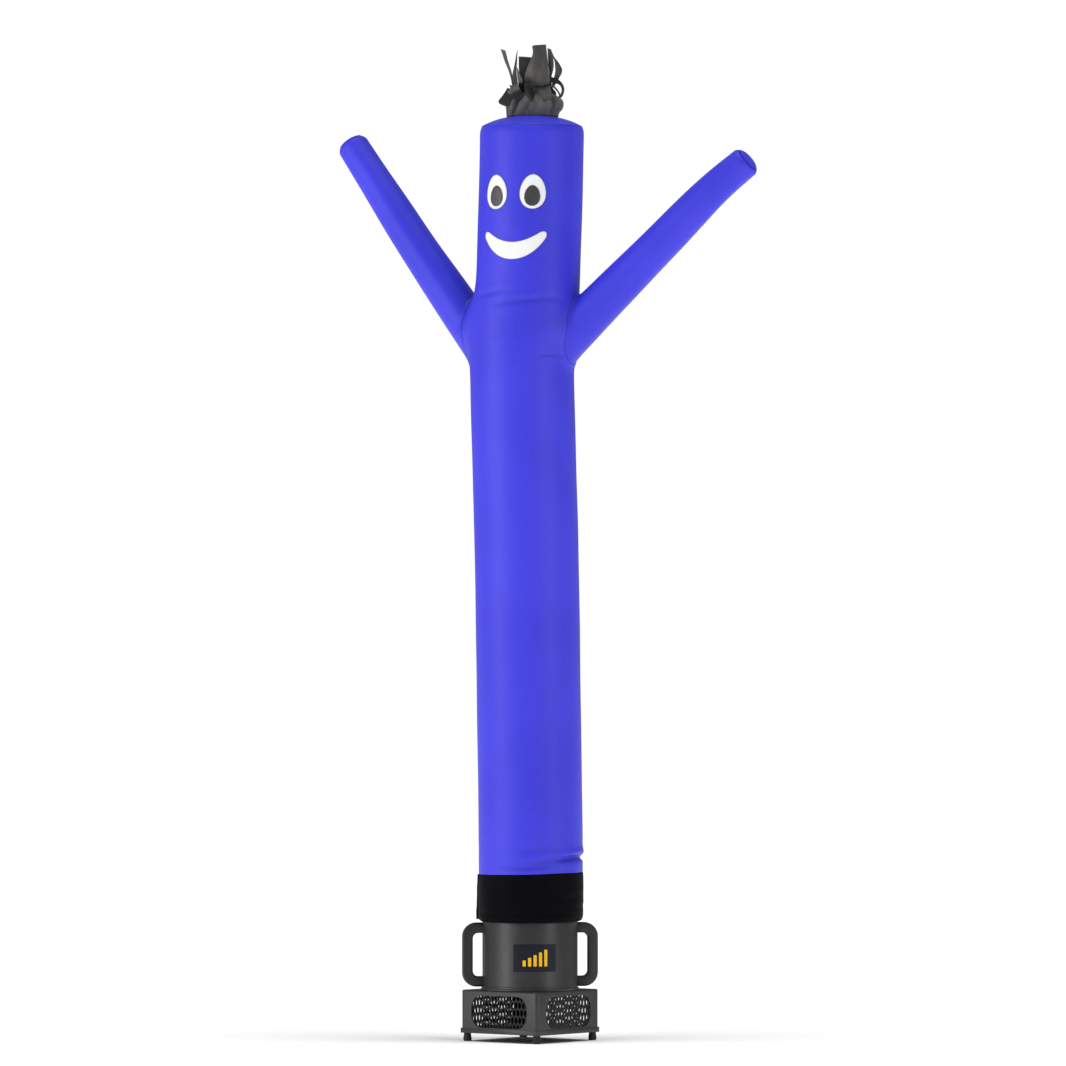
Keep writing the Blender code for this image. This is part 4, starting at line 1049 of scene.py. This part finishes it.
# Each strip is rows of points, from its free end to its hidden one. A row is the painted shade of it, or
# of each of its points, where it lies in the folds, in hundredths, then its points in mm: across, towards
# the viewer and above the strips' level.
STRIP_LEVEL = 3000
STRIPS = {
    "front": (
        (45, (1, 49, 180), (6, 51, 181), (11, 52, 182), (28, 53, 183), (45, 50, 184)),
        (40, (3, 50, 157), (7, 53, 157), (11, 54, 157), (29, 55, 157), (48, 50, 157)),
        (38, (-2, 47, 140), (4, 53, 140), (11, 57, 140), (29, 57, 140), (50, 51, 140)),
        ((10, 20, 40, 35, 20), (-12, 44, 117), (-1, 52, 117), (11, 61, 117), (31, 60, 117), (53, 52, 117)),
        ((0, 0, 30, 20, 0), (-21, 45, 91), (-5, 55, 90), (11, 67, 90), (33, 67, 90), (55, 53, 91)),
        ((75, 80, 50, 15, 0), (-23, 52, 72), (-6, 61, 70), (12, 73, 68), (35, 74, 69), (57, 56, 71)),
        ((100, 100, 100, 50, 40), (-24, 57, 62), (-6, 66, 57), (13, 76, 50), (36, 75, 55), (57, 57, 63)),
        ((80, 85, 80, 95, 100), (-24, 52, 57), (-6, 58, 50), (14, 66, 43), (36, 65, 48), (58, 51, 57)),
        ((85, 95, 95, 30, 10), (-24, 56, 44), (-5, 65, 38), (15, 56, 32), (37, 69, 38), (60, 55, 45)),
        ((80, 95, 100, 20, 10), (-22, 60, 24), (-3, 69, 19), (17, 57, 12), (40, 73, 18), (63, 58, 24)),
        ((60, 75, 95, 65, 50), (-16, 58, 4), (0, 67, 1), (18, 58, -4), (42, 68, 0), (62, 54, 4)),
        (25, (-8, 50, -14), (4, 55, -16), (18, 52, -20), (40, 54, -16), (56, 46, -12)),
    ),
    "back_tab": (
        (70, (-42, -12, 149), (-21, -7, 148), (1, -11, 146)),
        (70, (-42, -4, 120), (-21, 2, 120), (-1, -3, 120)),
        (80, (-41, 8, 92), (-20, 13, 92), (-2, 8, 92)),
        (100, (-40, 20, 60), (-20, 25, 60), (-4, 20, 60)),
        (100, (-38, 30, 20), (-20, 34, 20), (-4, 30, 20)),
    ),
    "left_lean": (
        (0, (-100, 2, 172), (-93, 6, 170), (-85, 8, 167)),
        (0, (-94, 4, 154), (-88, 8, 153), (-81, 9, 153)),
        (10, (-86, 7, 130), (-80, 11, 130), (-75, 11, 130)),
        (10, (-75, 11, 103), (-70, 14, 103), (-66, 14, 103)),
        (60, (-67, 16, 76), (-63, 18, 76), (-60, 18, 76)),
        (100, (-62, 22, 46), (-56, 24, 46), (-50, 24, 46)),
        (100, (-58, 26, 10), (-52, 28, 10), (-46, 28, 10)),
    ),
    "left_spike": (
        ((20, 90), (-47, 13, 168), (-46, 15, 165)),
        ((10, 100), (-51, 15, 147), (-47, 20, 147)),
        ((10, 90), (-55, 17, 123), (-48, 25, 123)),
        ((10, 90), (-61, 19, 96), (-49, 30, 96)),
        (70, (-63, 22, 70), (-46, 35, 70)),
        (100, (-62, 26, 40), (-42, 37, 40)),
        (100, (-58, 28, 8), (-40, 36, 8)),
    ),
    "left_facet": (
        (0, (-48, 30, 112), (-46, 34, 110)),
        (0, (-47, 33, 88), (-37, 42, 86)),
        (10, (-44, 38, 66), (-29, 44, 68)),
        (100, (-43, 36, 54), (-30, 38, 55)),
        (100, (-42, 32, 24), (-30, 34, 24)),
    ),
    "left_fold": (
        (100, (-76, 38, 38), (-62, 35, 52), (-45, 32, 65)),
        (10, (-79, 47, 33), (-63, 46, 47), (-46, 43, 60)),
        (0, (-75, 60, 27), (-58, 62, 37), (-40, 58, 46)),
        (75, (-70, 63, 22), (-52, 65, 30), (-36, 61, 38)),
        (90, (-60, 62, 12), (-45, 64, 20), (-29, 61, 28)),
        (80, (-48, 60, 4), (-38, 61, 10), (-26, 59, 19)),
        (60, (-46, 50, 0), (-36, 50, 5), (-25, 49, 12)),
    ),
    "left_point": (
        (100, (-78, 10, 47), (-68, 22, 44), (-56, 30, 40)),
        (90, (-93, 4, 24), (-76, 24, 20), (-58, 36, 18)),
        (90, (-106, -2, 7), (-80, 24, 4), (-60, 40, 2)),
        (90, (-103, -1, -3), (-79, 24, -7), (-60, 40, -8)),
        (80, (-86, 4, -11), (-74, 20, -13), (-58, 32, -14)),
    ),
    "right_slim": (
        (10, (50, 21, 174), (56, 24, 172), (61, 22, 170)),
        (20, (51, 23, 147), (59, 28, 147), (67, 25, 147)),
        (40, (53, 26, 123), (61, 32, 123), (70, 28, 123)),
        ((80, 60, 40), (55, 28, 103), (62, 34, 103), (68, 30, 103)),
        (50, (56, 30, 83), (60, 35, 83), (63, 32, 83)),
        (100, (55, 32, 60), (59, 34, 60), (62, 32, 60)),
        (100, (48, 34, 20), (54, 36, 20), (58, 34, 20)),
    ),
    "right_bent": (
        (20, (61, 17, 169), (62, 17, 168)),
        (20, (67, 17, 147), (71, 15, 147)),
        ((30, 50), (73, 18, 130), (84, 12, 130)),
        ((0, 60), (74, 20, 117), (92, 12, 117)),
        ((0, 70), (75, 22, 105), (97, 13, 105)),
        (30, (74, 23, 93), (95, 16, 93)),
        (60, (71, 24, 81), (89, 18, 82)),
        (100, (67, 25, 68), (83, 20, 70)),
        (100, (60, 26, 40), (70, 22, 50)),
    ),
    "right_loop": (
        (100, (57, 34, 84), (58, 34, 65)),
        (100, (71, 30, 78), (72, 30, 60)),
        (100, (85, 25, 73), (82, 25, 59)),
        (90, (98, 18, 60), (91, 20, 53)),
        (60, (104, 14, 43), (95, 18, 41)),
        (40, (100, 16, 24), (92, 20, 28)),
        (80, (92, 22, 14), (84, 24, 18)),
        (100, (80, 24, 4), (74, 26, 8)),
    ),
    # A strip wholly in painted shade, set behind the others where the tuft shows deep shadow.
    "right_shadow": (
        (100, (53, 26, 66), (58, 26, 62)),
        (100, (53, 28, 46), (68, 27, 44)),
        (100, (53, 29, 30), (78, 26, 30)),
        (100, (53, 28, 8), (76, 25, 8)),
    ),
    "right_cross": (
        (60, (60, 38, 64), (60, 38, 58)),
        (20, (70, 36, 55), (67, 37, 49)),
        (10, (80, 32, 44), (76, 34, 39)),
        (60, (88, 26, 33), (84, 28, 29)),
        (100, (92, 20, 20), (88, 22, 17)),
    ),
    "back_left": (
        (10, (-72, -46, 60), (-60, -56, 57), (-46, -56, 59)),
        (10, (-68, -44, 48), (-56, -54, 46), (-44, -52, 46)),
        (50, (-64, -38, 34), (-52, -48, 32), (-40, -46, 32)),
        (100, (-60, -32, 22), (-48, -40, 22), (-36, -38, 22)),
        (100, (-52, -28, -4), (-42, -34, -4), (-34, -30, -4)),
    ),
    "back_middle": (
        (5, (-14, -70, 124), (6, -62, 127), (24, -68, 129)),
        (5, (-16, -64, 96), (6, -56, 98), (26, -62, 99)),
        (30, (-18, -66, 66), (4, -60, 66), (26, -62, 66)),
        (100, (-18, -54, 34), (4, -48, 34), (24, -50, 34)),
        (100, (-16, -42, 0), (4, -38, 0), (22, -40, 0)),
    ),
    "back_right": (
        (5, (30, -56, 122), (40, -60, 118), (52, -50, 120)),
        (5, (30, -54, 96), (40, -56, 94), (50, -48, 96)),
        (40, (28, -50, 64), (38, -52, 64), (48, -44, 64)),
        (100, (26, -42, 30), (36, -44, 30), (46, -36, 30)),
        (100, (24, -36, 0), (34, -36, 0), (44, -30, 0)),
    ),
    "back_flop": (
        (10, (-38, -84, -4), (-22, -90, -6), (-8, -84, -2)),
        (10, (-40, -86, 18), (-22, -92, 18), (-8, -86, 20)),
        (10, (-38, -80, 40), (-22, -84, 42), (-8, -80, 42)),
        (20, (-34, -66, 52), (-22, -68, 54), (-10, -66, 54)),
        (100, (-32, -48, 40), (-22, -50, 42), (-12, -48, 40)),
        (100, (-30, -40, 10), (-22, -40, 10), (-14, -40, 10)),
    ),
    "crown": (
        (50, (-14, -34, 110), (0, -28, 114), (18, -36, 108)),
        (60, (-16, -28, 86), (0, -22, 88), (18, -30, 86)),
        (100, (-18, -20, 56), (0, -14, 56), (18, -22, 56)),
        (100, (-18, -14, 16), (0, -10, 16), (18, -16, 16)),
    ),
}


def head_top(reach):
    rim = TUBE_RADIUS - SHOULDER
    return HEAD_HEIGHT + CAP_LIFT + HEAD_RISE * (1 - np.minimum(reach / rim, 1.0) ** HEAD_CURVE)


def from_tuft(points):
    """Points placed across, towards the viewer and up, in the row frame."""
    points = points * np.array([1, -1, 1])
    return from_dancer(turned(points, SWAY_TURN) + sway_at(np.array(HEAD_HEIGHT)))


def build_collar():
    ups = np.linspace(0, 1, COLLAR_STEPS[1])
    turns = -180 + circle(COLLAR_STEPS[0], 360)
    up, azimuth = grid(ups, turns)
    sideways, half_width, half_depth = read_table(COLLAR, up)
    [top] = read_table(COLLAR_TOP, azimuth)
    rise = np.zeros_like(azimuth)
    for low, high, deep, half in PLEATS:
        away = apart(azimuth, low + (high - low) * up) / half
        rise += deep * np.exp(-(away**2)) * (0.35 + 0.65 * np.sin(np.pi * np.clip(up * 0.8 + 0.15, 0, 1)))
    turn = np.radians(azimuth)
    rise += 0.0009 * np.sin(turn * 17 + 9 * up) * up
    across = sideways + np.sin(turn) * (half_width + rise)
    depth = np.cos(turn) * (half_depth + rise)
    lift = 0.001 + up * (top - 0.001) + 0.003 * np.sin(turn * 7 + 1.0) * up
    share = np.clip(up / 0.2, 0, 1)
    base = head_top(np.hypot(across, depth)) * (1 - share) + (HEAD_HEIGHT + HEAD_RISE) * share
    points = np.stack([across, depth, base + lift], axis=-1)[:, ::-1]
    flat = layout(np.radians(np.append(turns, turns[0] + 360)) * 0.075, ups * 0.09)
    # Painted shade in the pleats' valleys.
    mesh = grid_mesh("tuft_collar", from_tuft(points), flat, sunk=np.clip(-rise[:, ::-1] / 0.008, 0, 1))
    piece = cloth(mesh, RIBBON, "hair", thickness=RIBBON_CLOTH)


def build_strip(name, rows):
    control = np.array([row[1:] for row in rows])
    count, columns = control.shape[:2]
    control = (control + [0, 0, STRIP_LEVEL]) / 1000
    # dark is the painted shade of each row or point, from hundredths.
    dark = np.array([np.broadcast_to(row[0], columns) for row in rows]) / 100
    table = np.column_stack([np.arange(count), control.reshape(count, -1), dark])
    t = np.linspace(0, count - 1, 5 * (count - 1) + 1)
    fine = np.stack(read_table(table, t), axis=-1)
    control, dark = fine[:, :-columns].reshape(len(t), columns, 3), fine[:, -columns:, None]
    share = np.linspace(0, columns - 1, 6 * (columns - 1) + 1)
    left = np.minimum(share.astype(int), columns - 2)
    part = (share - left)[None, :, None]
    points = control[:, left] * (1 - part) + control[:, left + 1] * part
    dark = (dark[:, left] * (1 - part) + dark[:, left + 1] * part)[..., 0]
    for _ in range(3):
        points[:, 1:-1] = (points[:, :-2] + 2 * points[:, 1:-1] + points[:, 2:]) / 4
    width = np.linalg.norm(np.diff(points, axis=1), axis=2).sum(axis=1).mean()
    length = lengths_along(points[:, len(share) // 2])
    flat = layout(np.linspace(-0.5, 0.5, len(share)) * width, length)
    mesh = grid_mesh(f"tuft_{name}", from_tuft(points), flat, closed=False, sunk=np.clip(dark, 0, 1))
    piece = cloth(mesh, RIBBON, thickness=RIBBON_CLOTH, offset=0.0)


# ---- The blower ----

FOOT_HEIGHT = 0.026
FOOT_REACH = 0.201
FOOT_PROFILE = (
    # radius, height
    (0.0000, 0.0000), (0.0105, 0.0000), (0.0122, 0.0010), (0.0130, 0.0032),
    (0.0130, 0.0120), (0.0124, 0.0150), (0.0116, 0.0180), (0.0116, 0.0257),
    (0.0000, 0.0257),
)
TRAY_HEIGHT = 0.016
TRAY_EDGE = 0.0015  # how far the tray's sides stand out past the box's
BOSS_RADIUS = 0.022
BOX_SIDE = 0.316
BOX_BOTTOM = 0.0293
BOX_TOP = 0.1635
BOX_WALL = 0.003
BOX_CORNER = 0.014
BOX_EDGE = 0.005
WINDOW_EDGE = 0.0008
TRAY_ROUNDING = 0.0022
HANDLE_ROUNDING = 0.0065
WINDOW = (0.226, 0.102)
WINDOW_CORNER = 0.040
WINDOW_LEVEL = 0.096
MESH_PITCH = 0.015
MESH_ROW = 0.024
MESH_SLOT = (0.0083, 0.0262)
MESH_TILT = 0.0017
MESH_THICK = 0.0013
MESH_LAP = 0.004  # how far it reaches past the window
MESH_INSET = 0.0012  # and how far inside the wall it lies
NECK_RADIUS = 0.1525
NECK_SIDES = 160
BEAD_REACH = 0.1527
BEAD_HEIGHT = 0.1765
BEAD = 0.0011
NECK_PROFILE = (
    # radius, height, round the neck's wall
    (0.1495, 0.1640), (0.1560, 0.1640), (0.1565, 0.1646), (0.1565, 0.1692),
    (0.1559, 0.1699), (0.1531, 0.1705), (0.1525, 0.1716), (0.1525, 0.4587),
    (0.1518, 0.4598), (0.1508, 0.4600), (0.1498, 0.4597), (0.1495, 0.4586),
)
LABEL_TURN = 26.25
LABEL_LOW = 0.227
LABEL_HIGH = 0.314
LABEL_LIFT = 0.0004
LABEL_FILM = 0.0008
BAR_PITCH = 6.5
BAR_TURN = 1.9  # half a bar's width, in degrees
BAR_BOTTOM = 0.2435
BAR_TOP = 0.2630  # the lowest bar's
BAR_STEP = 0.0085
BAR_INK = 0.0004
BAR_ROUNDING = 0.0022
LABEL_ROUNDING = 0.0025
HANDLE_REACH = 0.218
HANDLE_ROOT = 0.1455
HANDLE_BOTTOM = 0.173
HANDLE_TOP = 0.378
HANDLE_BAR = 0.0335
HANDLE_DEPTH = 0.028
HANDLE_CORNER = 0.045
HANDLE_INNER = 0.017


def arc(x, y, radius, start, end, count):
    """Places along an arc on the XY plane, with its angles in degrees from +X."""
    angles = np.radians(np.linspace(start, end, count))
    return np.stack([x + radius * np.cos(angles), y + radius * np.sin(angles)], axis=-1)


def rounded_outline(half_x, half_y, corner, steps):
    """A rounded rectangle's outline, anticlockwise from its right-hand side."""
    x, y = half_x - corner, half_y - corner
    centres = enumerate(((x, y), (-x, y), (-x, -y), (x, -y)))
    return np.concatenate([arc(*at, corner, 90 * i, 90 * i + 90, steps + 1) for i, at in centres])


def slab(name, outline, low, high):
    """A flat outline on the ground made into a solid from one height to another."""
    form = bmesh.new()
    face = form.faces.new([form.verts.new((float(x), float(y), low)) for x, y in outline])
    if face.normal.z > 0:
        face.normal_flip()
    raised = bmesh.ops.extrude_face_region(form, geom=[face])["geom"]
    tops = [v for v in raised if isinstance(v, bmesh.types.BMVert)]
    bmesh.ops.translate(form, verts=tops, vec=(0, 0, high - low))
    bmesh.ops.recalc_face_normals(form, faces=form.faces)
    return new_object(written(form, bpy.data.meshes.new(name)))


def turn_profile(name, profile, sides):
    """A closed outline of (radius, height) turned about the blower's axis."""
    profile = np.array(profile)
    azimuth = circle(sides, 360)
    points = profile[:, None, :1] * direction(azimuth) + UP * profile[:, None, 1:]
    points = np.concatenate([points, points[:1]])
    flat = layout(np.radians(np.append(azimuth, 360)) * NECK_RADIUS, lengths_along(points[:, 0]))
    return smooth_below(new_object(welded(grid_mesh(name, from_blower(points), flat))), 35)


def rotation(degrees, axis="Z"):
    return Matrix.Rotation(math.radians(degrees), 4, axis)


def on_side(degrees, reach, height):
    """The place of something flat that faces outwards from the blower's axis."""
    return rotation(degrees) @ Matrix.Translation((0, -reach, height)) @ rotation(90, "X")


def placed(piece, matrix):
    piece.data.transform(Matrix.Translation(AXIS) @ matrix)
    return piece


def build_neck():
    dress(turn_profile("neck_shell", NECK_PROFILE, NECK_SIDES), HOUSING, "blower_neck")
    # A moulded bead round the neck's foot.
    ring = direction(circle(NECK_SIDES, 360)) * BEAD_REACH + UP * BEAD_HEIGHT
    build_cord("neck_bead", from_blower(ring), BEAD, HOUSING, flatten=1.0)


def build_box():
    """A hollow rounded box, corner towards the front, with a window in each side."""
    half = BOX_SIDE / 2
    inner = half - BOX_WALL
    shell = slab("box_shell", rounded_outline(half, half, BOX_CORNER, 10), BOX_BOTTOM, BOX_TOP)
    shell = applied(bevel(shell, BOX_EDGE, 5, 60))
    hollow = rounded_outline(inner, inner, BOX_CORNER - BOX_WALL, 10)
    core = slab("box_core", hollow, BOX_BOTTOM + BOX_WALL, BOX_TOP - BOX_WALL)
    cutters = [applied(bevel(core, BOX_EDGE - 0.001, 3, 60))]
    window = rounded_outline(WINDOW[0] / 2, WINDOW[1] / 2, WINDOW_CORNER, 16)
    for side in range(4):
        cutter = slab(f"window_cutter_{side}", window, -0.02, 0.02)
        cutter.data.transform(on_side(90 * side, half, WINDOW_LEVEL))
        cutters.append(cutter)
    for cutter in cutters:
        modified(shell, "BOOLEAN", operation="DIFFERENCE", solver="EXACT", object=cutter)
    shell = applied(shell)
    for cutter in cutters:
        bpy.data.objects.remove(cutter)
    shell = smooth_below(bevel(shell, WINDOW_EDGE, 2, 50), 50)
    dress(placed(shell, rotation(45)), HOUSING, "base_box")
    for side in range(4):
        place = on_side(45 + 90 * side, inner - MESH_INSET, WINDOW_LEVEL)
        grille = placed(build_grille(side + 1), place)
        dress(grille, METAL, f"grille_{side + 1}")


def hexagon(x, y, top):
    return [(x, -y), (x, y), (0, top), (-x, y), (-x, -y), (0, -top)]


def build_grille(number):
    """Expanded metal: slots with leaning strands between them, each cell one ring of the sheet."""
    half_x, half_y = WINDOW[0] / 2 + MESH_LAP, WINDOW[1] / 2 + MESH_LAP
    cell_x, cell_y = MESH_PITCH / 2, MESH_ROW * 2 / 3
    slot_x, slot_y = MESH_SLOT[0] / 2, MESH_SLOT[1] / 2
    cell = hexagon(cell_x, MESH_ROW / 3, cell_y)
    slot = hexagon(slot_x, slot_y * 0.36, slot_y)
    form = bmesh.new()
    rows = int(half_y / MESH_ROW) + 2
    columns = int(half_x / MESH_PITCH) + 2
    for row in range(-rows, rows + 1):
        for column in range(-columns, columns + 1):
            x = (column + 0.5 * (row % 2)) * MESH_PITCH
            y = row * MESH_ROW
            if abs(x) > half_x + cell_x or abs(y) > half_y + cell_y:
                continue
            outer = [form.verts.new((x + dx, y + dy, MESH_TILT * dx / cell_x * -0.2)) for dx, dy in cell]
            inner = [form.verts.new((x + dx, y + dy, MESH_TILT * -np.sign(dx))) for dx, dy in slot]
            for i in range(6):
                k = (i + 1) % 6
                form.faces.new((outer[i], outer[k], inner[k], inner[i]))
    bmesh.ops.remove_doubles(form, verts=form.verts, dist=0.0004)
    for edge in ((-half_x, 0, 0), (half_x, 0, 0), (0, -half_y, 0), (0, half_y, 0)):
        everything = form.verts[:] + form.edges[:] + form.faces[:]
        bmesh.ops.bisect_plane(form, geom=everything, plane_co=edge, plane_no=edge, clear_outer=True)
    bmesh.ops.recalc_face_normals(form, faces=form.faces)
    mesh = written(form, bpy.data.meshes.new(f"grille_mesh_{number}"))
    return solidify(new_object(mesh), MESH_THICK, offset=0.0)


def build_tray():
    # A boss bulges round each corner, where the foot is.
    corner = FOOT_REACH / math.sqrt(2)
    span = math.degrees(math.acos((BOX_SIDE / 2 + TRAY_EDGE - corner) / BOSS_RADIUS))
    bosses = []
    for quarter in (0, 90, 180, 270):
        turn = math.radians(quarter + 45)
        centre = math.cos(turn) * FOOT_REACH, math.sin(turn) * FOOT_REACH
        bosses.append(arc(*centre, BOSS_RADIUS, quarter + span, quarter + 90 - span, 21))
    tray = slab("tray_shell", np.concatenate(bosses), FOOT_HEIGHT, FOOT_HEIGHT + TRAY_HEIGHT)
    tray = smooth_below(applied(bevel(tray, TRAY_ROUNDING, 3, 50)), 40)
    dress(placed(tray, rotation(45)), HOUSING, "base_tray")
    for number in range(4):
        foot = turn_profile(f"foot_rubber_{number + 1}", FOOT_PROFILE, 40)
        foot.data.transform(Matrix.Translation(direction(90.0 * number) * FOOT_REACH))
        dress(foot, RUBBER, f"foot_{number + 1}")


def build_handles():
    """A D-shaped bar on each side of the neck."""
    half = (HANDLE_TOP - HANDLE_BOTTOM) / 2
    outer = HANDLE_REACH - HANDLE_CORNER, half - HANDLE_CORNER
    inner = HANDLE_REACH - HANDLE_BAR - HANDLE_INNER, half - HANDLE_BAR - HANDLE_INNER
    outline = np.concatenate(
        [
            arc(outer[0], outer[1], HANDLE_CORNER, 90, 0, 13),
            arc(outer[0], -outer[1], HANDLE_CORNER, 0, -90, 13),
            [(HANDLE_ROOT, -half), (HANDLE_ROOT, HANDLE_BAR - half)],
            arc(inner[0], -inner[1], HANDLE_INNER, -90, 0, 9),
            arc(inner[0], inner[1], HANDLE_INNER, 0, 90, 9),
            [(HANDLE_ROOT, half - HANDLE_BAR), (HANDLE_ROOT, half)],
        ]
    )
    for side, turn in (("left", 180), ("right", 0)):
        piece = slab(f"handle_{side}_bar", outline, -HANDLE_DEPTH / 2, HANDLE_DEPTH / 2)
        piece = smooth_below(applied(bevel(piece, HANDLE_ROUNDING, 5, 60)), 50)
        placed(piece, on_side(turn, 0, (HANDLE_TOP + HANDLE_BOTTOM) / 2))
        dress(piece, HANDLE, f"handle_{side}")


def filled_in(outline, spacing):
    """The outline with more places wherever two lie further apart than the spacing."""
    places = []
    for here, ahead in zip(outline, np.roll(outline, -1, axis=0)):
        count = max(1, math.ceil(float(np.linalg.norm(ahead - here)) / spacing))
        places += [here + (ahead - here) * i / count for i in range(count)]
    return np.array(places)


def curved_plate(name, azimuth, heights, radius, thickness, rounding):
    """A rounded plate laid on the neck, with its middle and half its width as azimuths."""
    azimuth, half_width = azimuth
    wide, tall = math.radians(half_width) * radius, (heights[1] - heights[0]) / 2
    outline = filled_in(rounded_outline(wide, tall, rounding, 6), 0.003)
    core = np.clip(outline, [rounding - wide, 0], [wide - rounding, 0])
    rings = np.stack([core + (outline - core) * share for share in (1.0, 0.985, 0.9, 0.6, 0.3, 0.0)])
    azimuth = azimuth + np.degrees(rings[..., 0] / radius)
    reach = np.full_like(azimuth, radius + thickness)
    reach[0] -= thickness * 0.45
    height = (heights[0] + heights[1]) / 2 + rings[..., 1]
    points = direction(azimuth) * reach[..., None] + UP * height[..., None]
    mesh = welded(grid_mesh(name, from_blower(points), rings), 0.00003)
    return solidify(smooth_below(new_object(mesh), 40), thickness)


def build_label():
    radius = NECK_RADIUS + LABEL_LIFT
    heights = (LABEL_LOW, LABEL_HIGH)
    azimuth = 0.0, LABEL_TURN
    plate = curved_plate("label_plate_film", azimuth, heights, radius, LABEL_FILM, LABEL_ROUNDING)
    dress(plate, FILM, "label_plate")
    # Five upright bars, each taller than the one before: how strongly the fan blows.
    radius += LABEL_FILM + 0.0001
    for i in range(5):
        azimuth = BAR_PITCH * (i - 2), BAR_TURN
        heights = (BAR_BOTTOM, BAR_TOP + BAR_STEP * i)
        bar = curved_plate(f"level_bar_{i + 1}", azimuth, heights, radius, BAR_INK, BAR_ROUNDING)
        dress(bar, INK)


# ---- Put together ----

build_tube()
build_back_seam()
build_head()
for arm_side, arm_shape in ARMS.items():
    build_arm(arm_side, arm_shape)
build_face()
build_skirt()
build_flap()
build_collar()
for strip, strip_rows in STRIPS.items():
    build_strip(strip, strip_rows)
build_neck()
build_box()
build_tray()
build_handles()
build_label()

# ---- Studio ----

CAMERA_TURN = -6.1
CAMERA_DISTANCE = 28.0
CAMERA_HEIGHT = 1.6234
CAMERA_ASIDE = 0.0096
LENS = 295.5
SKY_SEEN = 1.02  # how bright the air is to the camera
SKY_GLOW = 0.33  # and to everything else


def build_floor():
    form = bmesh.new()
    bmesh.ops.create_circle(form, cap_ends=True, segments=96, radius=14.0)
    nodes = new_material("studio_floor")
    colour = nodes.mix(nodes.noise(0.6, 2.0), rgb(0.88, 0.88, 0.88), rgb(0.90, 0.90, 0.90))
    floor = new_object(written(form, bpy.data.meshes.new("studio_floor")))
    material, _ = nodes.finish(Base_Color=colour, Roughness=0.9, Specular_IOR_Level=0.1)
    floor.data.materials.append(material)
    floor.location.z = -0.0005
    return floor


def light_receivers(name, state):
    """What a light falls on: the floor alone, or all but the floor."""
    receivers = bpy.data.collections.new(name)
    receivers.objects.link(FLOOR)
    receivers.collection_objects[0].light_linking.link_state = state
    return receivers


def camera_side(turn):
    """The direction from the object at an azimuth from the camera's own."""
    return Vector(direction(CAMERA_TURN + turn))


def build_panel(name, azimuth, height, distance, size, power, aim=1.5, colour=(1.0, 1.0, 1.0)):
    """A soft panel that looks at the object, and doesn't light the floor."""
    light = new_object(bpy.data.lights.new(name, "AREA"))
    having(light.data, shape="RECTANGLE", size=size[0], size_y=size[1], energy=power, color=colour)
    light.location = AXIS + camera_side(azimuth) * distance + Vector((0, 0, height))
    way = AXIS + Vector((0, 0, aim)) - light.location
    light.rotation_euler = way.to_track_quat("-Z", "Y").to_euler()
    light.light_linking.receiver_collection = ALL_BUT_FLOOR


def build_floor_light(name, azimuth, strength):
    """A wide soft light from overhead and one side, for the floor alone."""
    light = new_object(bpy.data.lights.new(name, "SUN"))
    having(light.data, energy=strength, angle=math.radians(24))
    way = camera_side(azimuth) * 0.32 + Vector((0, 0, 1))
    light.rotation_euler = way.to_track_quat("Z", "Y").to_euler()
    light.light_linking.receiver_collection = FLOOR_ONLY


def build_world():
    world = bpy.data.worlds.new("studio_air")
    bpy.context.scene.world = world
    nodes = Nodes(world)
    seen, glow = (
        nodes.add("ShaderNodeBackground", {"Color": rgb(1.0, 1.0, 1.0), "Strength": strength}).outputs[0]
        for strength in (SKY_SEEN, SKY_GLOW)
    )
    to_camera = nodes.add("ShaderNodeLightPath").outputs["Is Camera Ray"]
    mixed = nodes.add("ShaderNodeMixShader", {0: to_camera, 1: glow, 2: seen}).outputs[0]
    nodes.add("ShaderNodeOutputWorld", {0: mixed})


def build_camera():
    camera = new_object(bpy.data.cameras.new("studio_camera"))
    having(camera.data, lens=LENS, sensor_width=36.0, sensor_fit="HORIZONTAL", clip_end=200.0)
    away, aside = camera_side(0), camera_side(90)
    camera.location = AXIS + away * CAMERA_DISTANCE + aside * CAMERA_ASIDE + Vector((0, 0, CAMERA_HEIGHT))
    camera.rotation_euler = (-away).to_track_quat("-Z", "Y").to_euler()
    bpy.context.scene.camera = camera


FLOOR = build_floor()
FLOOR_ONLY = light_receivers("floor_only", "INCLUDE")
ALL_BUT_FLOOR = light_receivers("all_but_floor", "EXCLUDE")
build_world()
build_panel("key_panel", -64, 2.2, 5.0, (1.5, 4.4), 121.0)
build_panel("fill_panel", 52, 2.0, 5.4, (0.6, 3.8), 62.0)
build_panel("top_panel", 0, 6.5, 0.4, (2.5, 2.5), 68.0, aim=2.9, colour=(0.80, 0.95, 1.0))
build_floor_light("floor_light_right", 70, 1.72)
build_floor_light("floor_light_left", -70, 1.40)
build_camera()
bpy.context.scene.view_settings.view_transform = "Standard"
